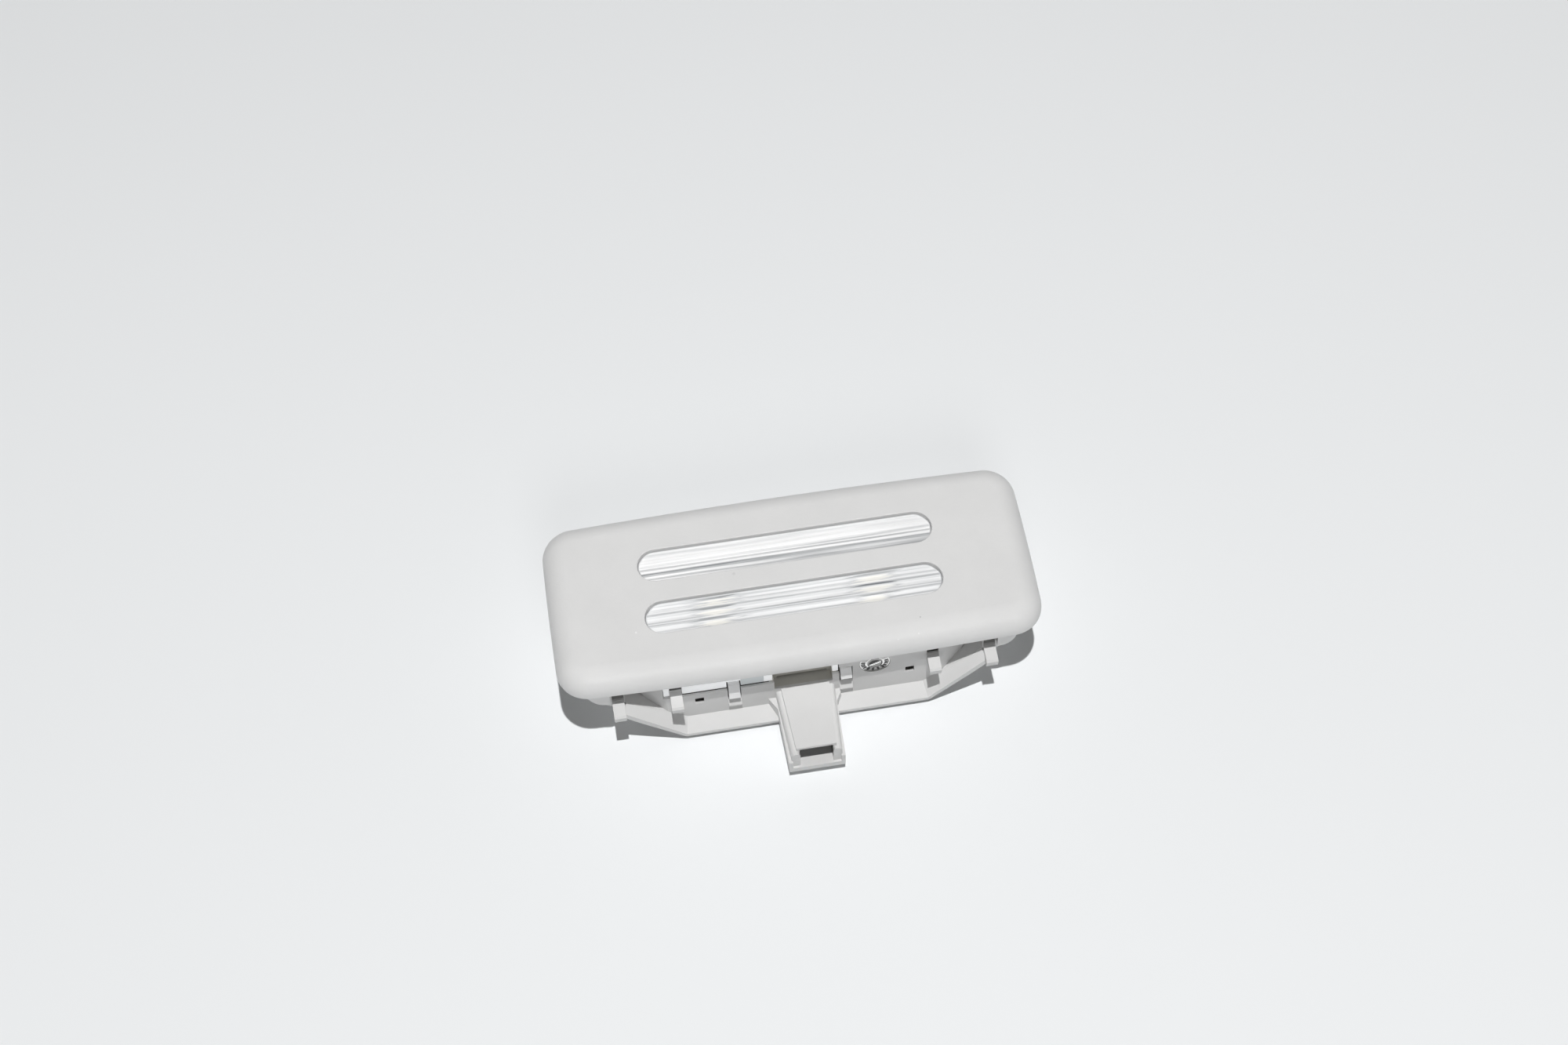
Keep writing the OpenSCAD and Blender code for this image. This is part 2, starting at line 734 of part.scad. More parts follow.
// Rails that hold a spring clip against the rear wall
module clip_rails() {
    rail_in = clip_w / 2 + 0.1;
    for (sx = [-1, 1])
        translate([sx * clip_x, 0, 0])
            for (s = [0, 1])
                mirror([s, 0, 0]) {
                    block([rail_in, wall_rim_y - wall_t / 2, clip_low + 2], [rail_in + 1, wall_back_y + 1.2, rim_z - 1.5]);
                    block([rail_in - 0.8, wall_back_y + clip_t + 0.1, clip_low + 2],
                        [rail_in + 1, wall_back_y + 1.2, rim_z - 1.5]);
                }
}

module housing() color([0.87, 0.87, 0.86]) {
    difference() {
        union() {
            difference() {
                body_form(0, 0, rim_z);
                body_form(wall_t, floor_t, rim_z + 1);
            }
            intersection() {
                body_form(0, 0, rim_z);
                union() {
                    board_posts();
                    for (sx = [-1, 1])
                        block([sx * pocket_mid - pocket_l / 2, -wall_rim_y + wall_t / 2, 0],
                            [sx * pocket_mid + pocket_l / 2, -wall_rim_y + pocket_d + pocket_wall, rim_z - 0.4]);
                    block([recess_x1 - recess_wall, -wall_rim_y + wall_t / 2, recess_low - recess_wall],
                        [recess_x2 + recess_wall, -wall_rim_y + recess_d + recess_wall, rim_z - 1.2]);
                }
            }
            front_flange();
            for (sx = [-1, 1])
                for (x = [lug_inner_x, lug_outer_x])
                    translate([sx * x, 0, 0])
                        lug();
            shroud_outside();
            clip_rails();
        }
        shroud_inside();
        // Slots over the lugs
        for (sx = [-1, 1])
            for (x = [lug_inner_x, lug_outer_x])
                translate([sx * x, 0, 0])
                    block([-lug_w / 2, -wall_back_y - 1, lug_low + lug_t],
                        [lug_w / 2, -inner_y + eps, lug_low + lug_t + lug_slot_h]);
        // Snap windows, each with a ramp below it
        for (place = snap_places)
            translate([place[0], 0, 0])
                mirror([0, place[1] > 0 ? 1 : 0, 0])
                    snap_window();
        // Pockets between the lugs
        for (s = [0, 1])
            mirror([s, 0, 0])
                side_pocket();
        // Wall lowered for the lens's apron, but for the root of the lug
        difference() {
            block([apron_left - apron_clear, -wall_back_y - 1, apron_low - apron_clear],
                [apron_right + apron_clear, -inner_y + eps, rim_z + 1]);
            block([-lug_inner_x - lug_w / 2, -bezel_w, 0], [-lug_inner_x + lug_w / 2, 0, lug_low + lug_t]);
        }
        // Recess over the connector
        block([recess_x1, -wall_back_y - 1, recess_low], [recess_x2, -wall_rim_y + recess_d, rim_z + 1]);
        block([recess_x1 + 0.8, -wall_back_y, recess_low], [recess_x2 - 0.8, -inner_y + 3, recess_low + 0.8]);
        // Peep holes
        for (sx = [-1, 1])
            block([sx * peep_x - peep_w / 2, -wall_back_y - 1, peep_z - peep_w / 2],
                [sx * peep_x + peep_w / 2, -inner_y + eps, peep_z + peep_w / 2]);
        // Date dial
        translate([dial_x, -wall_y(dial_z), dial_z])
            rotate([90, 0, 0])
                difference() {
                    cylinder(r = dial_r, h = 0.4, center = true);
                    cylinder(r = dial_r / 2, h = 1, center = true);
                }
        // Stiffening recesses in the back
        for (sx = [-1, 1])
            for (i = [0, 1])
                block([sx * (6.5 + 11 * i) - 5, -wall_rim_y + 3, -1], [sx * (6.5 + 11 * i) + 5, wall_rim_y - 3, back_recess]);
        // Slots for the terminal pins
        for (sx = [-1, 1])
            block([sx * pin_pitch / 2 - pin_size / 2, socket_end_y - 1, pin_z - pin_size / 2],
                [sx * pin_pitch / 2 + pin_size / 2, -inner_y + 1, pin_z + pin_size / 2]);
    }
}

// Reflector

// Tapered block with its small end down
module taper_block(l, w, lean, z1, z2) {
    intersection() {
        along_x(-l / 2, l / 2)
            polygon([[-w / 2 + lean, z1], [w / 2 - lean, z1], [w / 2, z2], [-w / 2, z2]]);
        along_y(-w / 2, w / 2)
            polygon([[-l / 2 + lean, z1], [l / 2 - lean, z1], [l / 2, z2], [-l / 2, z2]]);
    }
}

module reflector() color([0.96, 0.96, 0.96]) {
    top = rim_z - 0.1;
    inner_l = reflector_l - 2 * reflector_t;
    inner_w = reflector_w - 2 * reflector_t;
    difference() {
        taper_block(reflector_l, reflector_w, reflector_lean, reflector_low, top);
        translate([0, 0, reflector_t])
            taper_block(inner_l, inner_w, reflector_lean, reflector_low, top);
        for (sx = [-1, 1])
            block([sx * led_x - led_size / 2 - 0.3, -led_size / 2 - 0.3, board_z],
                [sx * led_x + led_size / 2 + 0.3, led_size / 2 + 0.3, top]);
    }
}

// Circuit

module circuit_board() color([0.9, 0.92, 0.88]) {
    difference() {
        block([-board_l / 2, board_front_y, board_z], [board_l / 2, board_front_y + board_w, board_top]);
        for (sx = [-1, 1], sy = [-1, 1])
            translate([sx * post_x, sy * post_y, board_z - 1])
                cylinder(r = peg_r + 0.1, h = board_t + 2);
        for (sx = [-1, 1])
            block([sx * pin_pitch / 2 - pin_size / 2, pin_rise_y - pin_size / 2, board_z - 1],
                [sx * pin_pitch / 2 + pin_size / 2, pin_rise_y + pin_size / 2, board_top + 1]);
    }
}

// Lamp package with a round window in its top
module led() {
    difference() {
        block([-led_size / 2, -led_size / 2, 0], [led_size / 2, led_size / 2, led_h]);
        translate([0, 0, led_h - 0.2])
            cylinder(r = led_size * 0.36, h = 1);
    }
}

module led_left() color([0.95, 0.9, 0.7])
    translate([-led_x, 0, board_top])
        led();

module led_right() color([0.95, 0.9, 0.7])
    translate([led_x, 0, board_top])
        led();

// Bent terminal from the socket up through the board
module terminal() {
    half = pin_size / 2;
    block([-half, pin_tip_y, pin_z - half], [half, pin_rise_y + half, pin_z + half]);
    block([-half, pin_rise_y - half, pin_z - half], [half, pin_rise_y + half, board_top + 0.25]);
}

module terminal_left() color([0.8, 0.76, 0.6])
    translate([-pin_pitch / 2, 0, 0])
        terminal();

module terminal_right() color([0.8, 0.76, 0.6])
    translate([pin_pitch / 2, 0, 0])
        terminal();

// Small part soldered under the board, of a given length, width and height
module chip(x, y, size) {
    block([x - size[0] / 2, y - size[1] / 2, board_z - size[2]], [x + size[0] / 2, y + size[1] / 2, board_z]);
}

module resistor_1() color([0.15, 0.15, 0.16])
    chip(-resistor_x, chip_front_y, resistor_size);

module resistor_2() color([0.15, 0.15, 0.16])
    chip(-resistor_x, chip_front_y + resistor_pitch, resistor_size);

module resistor_3() color([0.15, 0.15, 0.16])
    chip(resistor_x, chip_front_y, resistor_size);

module resistor_4() color([0.15, 0.15, 0.16])
    chip(resistor_x, chip_front_y + resistor_pitch, resistor_size);

module protection_diode() color([0.12, 0.12, 0.12])
    chip(-diode_x, chip_front_y, diode_size);

module surge_diode() color([0.12, 0.12, 0.12])
    chip(diode_x, chip_front_y, diode_size);

module capacitor_1() color([0.66, 0.55, 0.42])
    chip(-diode_x, chip_rear_y, capacitor_size);

module capacitor_2() color([0.66, 0.55, 0.42])
    chip(diode_x, chip_rear_y, capacitor_size);

module driver_transistor() color([0.12, 0.12, 0.12])
    chip(0, chip_rear_y + 1, transistor_size);

// Spring clips

// Bent steel strip on the rear wall, seen as an outline in Y and Z
module spring_clip() {
    y0 = wall_back_y;
    y1 = y0 + clip_t;
    bend_r = 1.2;
    knee_y = y0 + clip_out;
    knee_z = clip_low + 6.5;
    along_x(-clip_w / 2, clip_w / 2)
        union() {
            translate([y0, clip_low + bend_r])
                square([clip_t, clip_high - clip_low - bend_r]);
            difference() {
                translate([y0 + bend_r, clip_low + bend_r])
                    circle(bend_r);
                translate([y0 + bend_r, clip_low + bend_r])
                    circle(bend_r - clip_t);
                translate([y0, clip_low + bend_r])
                    square([2 * bend_r, bend_r + 1]);
            }
            polygon([
                [y0 + 2 * bend_r - clip_t, clip_low + bend_r], [y0 + 2 * bend_r, clip_low + bend_r],
                [knee_y, knee_z], [knee_y - clip_t, knee_z]
            ]);
            polygon([
                [knee_y - clip_t, knee_z - eps], [knee_y, knee_z - eps],
                [y1 + 1.6, clip_high], [y1 + 1.6 - clip_t, clip_high]
            ]);
        }
}

module spring_clip_left() color([0.6, 0.6, 0.62])
    translate([-clip_x, 0, 0])
        spring_clip();

module spring_clip_right() color([0.6, 0.6, 0.62])
    translate([clip_x, 0, 0])
        spring_clip();

bezel();
lens();
housing();
reflector();
circuit_board();
led_left();
led_right();
terminal_left();
terminal_right();
spring_clip_left();
spring_clip_right();
resistor_1();
resistor_2();
resistor_3();
resistor_4();
protection_diode();
surge_diode();
capacitor_1();
capacitor_2();
driver_transistor();
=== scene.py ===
import math

import bmesh
import bpy
from mathutils import Matrix, Vector


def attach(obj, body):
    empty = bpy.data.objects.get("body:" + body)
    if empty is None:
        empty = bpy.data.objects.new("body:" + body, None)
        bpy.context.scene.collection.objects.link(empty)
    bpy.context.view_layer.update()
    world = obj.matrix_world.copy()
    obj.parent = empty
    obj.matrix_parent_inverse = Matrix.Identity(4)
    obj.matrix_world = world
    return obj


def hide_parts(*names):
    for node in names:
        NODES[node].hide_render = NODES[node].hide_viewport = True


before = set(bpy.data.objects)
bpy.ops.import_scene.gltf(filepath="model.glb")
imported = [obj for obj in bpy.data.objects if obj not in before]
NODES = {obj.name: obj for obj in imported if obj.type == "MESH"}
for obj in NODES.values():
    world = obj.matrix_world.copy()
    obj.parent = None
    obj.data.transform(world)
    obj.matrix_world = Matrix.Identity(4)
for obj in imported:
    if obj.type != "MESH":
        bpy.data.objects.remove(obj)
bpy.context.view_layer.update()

# Shapes and places are in millimetres unless a comment says otherwise, and MM turns them into metres
MM = 0.001

# Camera, fitted to the photograph: its place and the picture's two directions
CAMERA_PLACE = (-29.846, -234.583, 432.064)
CAMERA_RIGHT = (0.98730845, -0.15741165, -0.02106191)
CAMERA_DOWN = (-0.14531187, -0.84187473, -0.51974166)
CAMERA_LENS = 54.0
SENSOR_W = 36.0
CAMERA_NEAREST = 0.01
CAMERA_FARTHEST = 20.0

# Light, in degrees and metres: a small lamp overhead that makes the shadows, a soft panel on the viewer's
# side that makes the highlights, and a faint warm surround. A level is what white reads square to the light.
LAMP_TILT = 10.5
LAMP_DISTANCE = 1.4
LAMP_SIZE = 0.028
LAMP_LEVEL = 0.845
PANEL_HEIGHT = 40.0
PANEL_DISTANCE = 1.1
PANEL_SIZE = 0.4
PANEL_LEVEL = 0.125
SURROUND = 0.014
SURROUND_COLOUR = (1.0, 0.99, 0.88, 1.0)

# Backdrop that the camera and shiny or clear surfaces see, and where the floor fades into it, in metres
BACKDROP = 0.8
BACKDROP_COLOUR = (0.98, 0.99, 1.0, 1.0)
FADE_START = 0.4
FADE_END = 1.0

# Floor: half its side, then in metres its drop below the part and the size of its clouds, and its look
FLOOR_REACH = 3000.0
FLOOR_DROP = 0.00002
FLOOR_CLOUD_SIZE = 0.2
FLOOR_COLOURS = ((0.88, 0.895, 0.905, 1.0), (0.90, 0.915, 0.925, 1.0))
FLOOR_ROUGHNESS = 0.5
FLOOR_SPECULAR = 0.3

# Bezel
BEZEL_L = 98.0
BEZEL_W = 39.4
TOTAL_H = 25.0
BEZEL_H = 5.5
EDGE_Z = TOTAL_H - BEZEL_H
EDGE_R = 0.25
BEZEL_SKIN = 2.0
CORNER_R = 6.5
SHOULDER_R = 4.7
SIDE_BOW = 0.9
END_BOW = 0.3
HOLLOW_STEP_UP = 1.4
HOLLOW_STEP_IN = 1.6

# Window slots, with a slight taper below and a rounded rim above
SLOT_L = 60.0
SLOT_W = 7.3
SLOT_Y = 6.0
SLOT_END_X = SLOT_L / 2 - SLOT_W / 2
SLOT_EDGE_R = 0.22
SLOT_TAPER = 0.12
LENS_TOP = 24.2

# End skirts under the bezel
SKIRT_L = BEZEL_L - 9.4
SKIRT_W = BEZEL_W - 2.6
SKIRT_WALL = 1.4
SKIRT_CORNER_R = 4.5
SKIRT_LOW = EDGE_Z - 4.5
SKIRT_HIGH = EDGE_Z + 1.2
SKIRT_GAP_L = 78.2

# Snap arms: place along X, side, and height of the hook
SNAP_ARMS = ((-14.35, -1, 6.0), (8.4, -1, 4.8), (-14.35, 1, 4.8), (14.35, 1, 4.8))
ARM_W = 2.3
ARM_Y = 15.75
ARM_T = 1.1
HOOK_Y = 18.43
HOOK_HIGH = 14.05
HOOK_SLOPE_IN = 0.7
HOOK_LIP_R = 0.45
HOOK_NOSE = (0.1, 1.6)
HOOK_FOOT_OUT = 0.4

# How far a cutter reaches past what it cuts, and how far a wall runs into the skin that carries it
OVERCUT = 1.0
OVERLAP = 0.5

# Sills of the snap windows: width and section as (away from the middle, up)
SILL_W = 2.7
SILL_SECTION = ((17.3, 8.3), (18.45, 6.6), (18.45, 6.2), (17.9, 5.6), (17.3, 5.6))

# Date dial on the front wall, with painted highlights on its pale parts and painted shade on its dark ones:
# radii, angles in degrees, and heights out of the wall
DIAL_X = 14.3
DIAL_Z = 14.0
POINTER_ANGLE = 24
POINTER_ENDS = (-1.2, 1.25)
POINTER_HALF_W = 0.24
PATCH_RADII = (1.85, 3.05)
PATCH_ANGLES = ((158, 222), (-38, 26))
DIAL_RIM_RADII = (1.62, 1.8)
DIAL_RIM_ANGLES = (120, 420)
DISC_R = 1.5
SHADE_R = 1.25
SHADE_LINE_RADII = (1.3, 1.45)
SHADE_LINE_ANGLES = (190, 380)
TICK_RADII = (2.0, 2.85)
TICK_HALF_W = 0.2
TICK_ANGLES = (168, 183, 198, 213, 238, 262, 286, 310, 328, 343, 358, 13)
DIAL_FLOOR = -0.24
PATCH_TOP = -0.14
DIAL_RIM_TOP = -0.12
TICK_TOP = -0.08
HUB_TOP = -0.1
DISC_TOP = 0.05
SHADE_TOP = 0.07
POINTER_TOP = 0.1

# Housing: front wall, the closed body behind it, the recess over the connector, the lug slots and the
# socket, which also bound the housing's painted shade
WALL_BACK_Y = 18.2
WALL_LEAN = 0.7 / 18.0
WALL_SKIN = 0.4
RECESS_X = (-7.2, 6.6)
INSIDE_Z = (8.4, 17.9)
LUG_X = (26.05, 37.6)
LUG_SLOT_HALF_W = 1.3
LUG_SLOT_Z = (14.6, 17.3)
# Share of the full painted shade in the inner and the outer lug slots
LUG_SLOT_PAINTED_SHADE = (0.9, 0.35)
SOCKET_HALF_W = 3.38
SOCKET_Y = (-31.9, -17.0)
SOCKET_Z = (3.75, 9.05)

# Grey lines of painted shade and reflection along the windows: distance from the window's middle, half width
# and darkness
FAR_PAINTED_LINES = ((2.75, 0.6, 0.17), (0.4, 0.4, 0.27), (-0.45, 0.35, 0.32), (-1.65, 0.45, 0.5), (-2.6, 0.3, 0.34))
NEAR_PAINTED_LINES = ((2.95, 0.3, 0.16), (2.0, 0.25, 0.16), (0.95, 0.35, 0.28), (0.45, 0.2, 0.18),
              (-0.85, 0.25, 0.3), (-1.45, 0.35, 0.3), (-2.75, 0.3, 0.26))

# Painted grey veil of shade along the near side of the far window, which grows from left to right
VEIL_PAINTED_SHADE = 0.36
VEIL_Y = (-1.7, -1.4)
VEIL_X = (-22, 2)

# Painted shade: a grey edge all round each window where the slot wall shades it, and the slight darkening of
# both windows towards their right ends
EDGE_PAINTED_SHADE = 0.5
EDGE_FROM_MIDDLE = (SLOT_W / 2 - 0.5, SLOT_W / 2 - 0.2)
RIGHT_PAINTED_SHADE = 0.07
RIGHT_X = (10, 28)

# Painted spots of the lamps behind the near window, with painted shade round them: place, and the distances
# from it over which each part of the spot fades
LED_X = 16.0
LED_ENDS_BLUR = 2.0
LED_GLOW_X = (1.6, 3.4)
LED_GAP_X = (2.6, 5.6)
LED_RIM_X = (2.4, 3.6, 5.6)
LED_RIM_PAINTED_SHADE = 0.2
LED_GAP_PAINTED_SHADE = 0.5

# Ribs of the lens over the lamps, and the parts of a rib's wave, from -1 to 1, that are painted dark or
# painted to glow
LENS_RIB_PITCH = 2.33
LED_RIB_SHIFT = 0.37
LED_GAP_WAVE = (-0.95, -0.7)
LED_GLOW_WAVE = (-0.7, 0.0)

# Fine streaks along the windows: sizes across them, how they change the lines, and the lens's surface
LENS_STREAK = 0.6
LENS_SWAY = 1.4
LENS_SWAY_SHIFT = 0.12
LENS_ROWS = 0.35
LENS_STRETCH = 0.025
STREAK_ON_LINES = (1.25, 0.7)
STREAK_DARK_PART = (0.3, 0.6)
STREAK_DARKNESS = 0.12
LENS_ROUGHNESS = (0.45, 0.52)
LENS_IOR = 1.49
LENS_SPECULAR = 0.2
LENS_BUMP = 0.003

# Apron of the lens, painted white and glowing as if lit from inside: where it shows in front, and its bluish
# part along X
APRON_Y = -15.9
APRON_Z = 19.6
APRON_BLUISH_X = (-12.9, -8.2)

# Small marks on the bezel's face: place, radius, brightness and strength
FACE_MARKS = (
    ((-11.1, 1.3, 25.0), 0.45, 0.45, 0.3),
    ((-32.1, -8.7, 25.0), 0.3, 0.95, 0.6),
    ((18.75, -18.3, 23.7), 0.25, 0.95, 0.6),
    ((22.95, -17.8, 24.05), 0.25, 0.95, 0.6),
    ((17.1, 16.9, 25.0), 0.15, 0.3, 0.6),
    ((23.8, -14.7, 25.0), 0.18, 0.3, 0.7),
)

# Linear colours
BEZEL_COLOUR = (0.744, 0.742, 0.738, 1.0)
HOUSING_COLOUR = (0.652, 0.649, 0.644, 1.0)
# The dial's pale colour is a painted highlight and its dark colour is painted shade
DIAL_HIGHLIGHT_COLOUR = (0.97, 0.97, 0.96, 1.0)
DIAL_SHADE_COLOUR = (0.03, 0.03, 0.028, 1.0)
DIAL_MIDDLE_COLOUR = (0.45, 0.45, 0.44, 1.0)
# Painted light and shade of the windows: the lit reflector far and near, the lamps seen through the lens,
# and the dark lines
FAR_WINDOW_PAINTED_LIGHT = (1.0, 1.0, 1.0, 1.0)
NEAR_WINDOW_PAINTED_LIGHT = (0.91, 0.915, 0.92, 1.0)
WINDOW_PAINTED_LAMP_COLOUR = (0.97, 0.955, 0.905, 1.0)
WINDOW_PAINTED_SHADE_COLOUR = (0.0, 0.015, 0.03, 1.0)
# The apron's white is a painted glow of light piped through the lens
APRON_GLOW_COLOUR = (0.93, 0.94, 0.95, 1.0)
APRON_BLUISH_COLOUR = (0.52, 0.55, 0.56, 1.0)
REFLECTOR_COLOUR = (0.88, 0.88, 0.88, 1.0)
BOARD_COLOUR = (0.8, 0.81, 0.78, 1.0)
LAMP_COLOUR = (0.9, 0.85, 0.6, 1.0)
CHIP_COLOUR = (0.03, 0.03, 0.03, 1.0)
CAPACITOR_COLOUR = (0.4, 0.28, 0.16, 1.0)
WHITE = (1.0, 1.0, 1.0, 1.0)

# Strength of the faint painted glow of the windows and of the pale places in front, the lens's apron and the
# dial's patches
WINDOW_PAINTED_GLOW = 0.05
FRONT_PAINTED_GLOW = 0.28

# Sockets of a Mix node that mixes colours
MIX_FACTOR = 0
MIX_FIRST = 6
MIX_SECOND = 7
MIX_RESULT = 2

# Ranges in which a noise mostly lies: the wide one keeps it soft, the narrow one gives it contrast
WIDE = (0.3, 0.7)
NARROW = (0.35, 0.65)


# Node helpers

def new_material(name):
    """A new material and its Principled shader"""
    material = bpy.data.materials.new(name)
    material.use_nodes = True
    return material, principled(material)


def principled(material):
    return material.node_tree.nodes["Principled BSDF"]


def feed(material, socket, output):
    """Links an output to a socket of the material"""
    material.node_tree.links.new(output, socket)


def set_input(material, socket, value):
    """Sets a socket to a value, or links it to the output that the value is"""
    if isinstance(value, bpy.types.NodeSocket):
        feed(material, socket, value)
    else:
        socket.default_value = value


def add_node(material, kind, inputs=None, **settings):
    """Adds a shader node; inputs are values or the outputs that feed them"""
    node = material.node_tree.nodes.new(kind)
    for key, value in settings.items():
        setattr(node, key, value)
    for key, value in (inputs or {}).items():
        set_input(material, node.inputs[key], value)
    return node


def object_place(material):
    return add_node(material, "ShaderNodeTexCoord").outputs["Object"]


def stretched_place(material, scale):
    """The shaded point's place, scaled by a factor for each axis"""
    node = add_node(material, "ShaderNodeMapping", {"Vector": object_place(material), "Scale": scale})
    return node.outputs["Vector"]


def place_in_mm(material):
    """The shaded point's place in millimetres, as one vector"""
    node = add_node(material, "ShaderNodeVectorMath", {0: object_place(material), "Scale": 1 / MM},
                    operation="SCALE")
    return node.outputs["Vector"]


def coordinates(material):
    """The three coordinates of the shaded point in millimetres"""
    split = add_node(material, "ShaderNodeSeparateXYZ", {"Vector": place_in_mm(material)})
    return split.outputs["X"], split.outputs["Y"], split.outputs["Z"]


def noise(material, place, size, detail=3.0, roughness=0.5):
    """Noise with features of about the given size in metres"""
    node = add_node(material, "ShaderNodeTexNoise",
                    {"Vector": place, "Scale": 1.0 / size, "Detail": detail, "Roughness": roughness})
    return node.outputs["Fac"]


def remap(material, value, low, high, to_low, to_high):
    """The value carried from one range to another, and held at its ends"""
    node = add_node(material, "ShaderNodeMapRange",
                    {"Value": value, "From Min": low, "From Max": high, "To Min": to_low, "To Max": to_high})
    return node.outputs["Result"]


def mix_colour(material, factor, first, second):
    node = add_node(material, "ShaderNodeMix",
                    {MIX_FACTOR: factor, MIX_FIRST: first, MIX_SECOND: second}, data_type="RGBA")
    return node.outputs[MIX_RESULT]


def bumps(material, height, distance):
    """Feeds the shader's normal from a height, over a distance in metres"""
    bump = add_node(material, "ShaderNodeBump", {"Height": height, "Distance": distance, "Strength": 1.0})
    feed(material, principled(material).inputs["Normal"], bump.outputs["Normal"])


def base_colour(material):
    """The output that feeds the shader's colour"""
    return principled(material).inputs["Base Color"].links[0].from_socket


def maths(material, operation, first, second=0.0):
    return add_node(material, "ShaderNodeMath", {0: first, 1: second}, operation=operation).outputs[0]


def add(material, first, second):
    return maths(material, "ADD", first, second)


def subtract(material, first, second):
    return maths(material, "SUBTRACT", first, second)


def size_of(material, value):
    return maths(material, "ABSOLUTE", value)


def greater(material, value, limit):
    return maths(material, "GREATER_THAN", value, limit)


def less(material, value, limit):
    return maths(material, "LESS_THAN", value, limit)


def larger(material, first, second):
    """The larger of two values"""
    return maths(material, "MAXIMUM", first, second)


def product(material, *values):
    result = values[0]
    for value in values[1:]:
        result = maths(material, "MULTIPLY", result, value)
    return result


def between(material, value, low, high):
    """1 where the value lies between low and high, otherwise 0"""
    return product(material, greater(material, value, low), less(material, value, high))


def soft_lines(material, value, lines):
    """Darkness of soft lines, each given by its place, half width and darkness"""
    core = 0.4
    total = 0.0
    for place, half_w, darkness in lines:
        away = size_of(material, subtract(material, value, place))
        line = remap(material, away, core * half_w, half_w, darkness, 0)
        total = larger(material, total, line)
    return total


def grey(level, warmth=0.0):
    """Linear colour of a given level; warmth above 0 adds red and takes blue away"""
    return (level * (1 + 0.3 * warmth), level, level * (1 - warmth), 1.0)


# Materials

def moulded_plastic(name, colour, roughness, grain, grain_height, blotch=0.03):
    """Moulded plastic: a fine grain, faint cloudiness in tone and an uneven sheen"""
    cloud_size = 9 * MM
    sheen_size = 2.5 * MM
    sheen_spread = 0.05
    material, shader = new_material(name)
    place = object_place(material)
    cloud = noise(material, place, cloud_size, 4.0, 0.6)
    darker = tuple(c * (1 - blotch) for c in colour[:3]) + (1.0,)
    tone = mix_colour(material, remap(material, cloud, *NARROW, 0, 1), darker, colour)
    feed(material, shader.inputs["Base Color"], tone)
    sheen = noise(material, place, sheen_size, 2.0, 0.5)
    rough = remap(material, sheen, *WIDE, roughness - sheen_spread, roughness + sheen_spread)
    feed(material, shader.inputs["Roughness"], rough)
    bumps(material, noise(material, place, grain, 2.0, 0.6), grain_height)
    return material


def face_marks(material, tone):
    """The tone with the few small marks that the photographed face has"""
    core = 0.4
    place = place_in_mm(material)
    for mark_place, radius, level, strength in FACE_MARKS:
        node = add_node(material, "ShaderNodeVectorMath", {0: place, 1: mark_place}, operation="DISTANCE")
        spot = remap(material, node.outputs["Value"], radius * core, radius, strength, 0.0)
        tone = mix_colour(material, spot, tone, grey(level))
    return tone


def bezel_material(name, colour):
    """Satin plastic with the face's marks, painted shade on the slot walls and painted light on the hooks"""
    margin = 0.1
    slot_low = 20.0
    slot_high = TOTAL_H - 0.8 * SLOT_EDGE_R
    slot_shade_strength = 0.75
    slot_painted_shade = grey(0.5)
    hook_reach = 1.2
    hook_light_strength = 0.8
    hook_painted_light = grey(0.95)
    material = moulded_plastic(name, colour, roughness=0.37, grain=0.4 * MM, grain_height=0.03 * MM)
    x, y, z = coordinates(material)
    tone = face_marks(material, base_colour(material))
    half_l = SLOT_L / 2 + margin
    half_w = SLOT_W / 2 + margin
    # Painted shade: the walls of the window slots are greyed where they fall in shade
    in_slot = product(material, between(material, z, slot_low, slot_high),
                      less(material, size_of(material, x), half_l),
                      between(material, size_of(material, y), SLOT_Y - half_w, SLOT_Y + half_w))
    tone = mix_colour(material, product(material, in_slot, slot_shade_strength), tone, slot_painted_shade)
    # Painted light: the hooks are paler, as if lit, where they sit in the bezel's shadow
    on_hook = product(material, less(material, z, HOOK_HIGH + margin),
                      greater(material, size_of(material, y), ARM_Y + hook_reach))
    tone = mix_colour(material, product(material, on_hook, hook_light_strength), tone, hook_painted_light)
    feed(material, principled(material).inputs["Base Color"], tone)
    return material


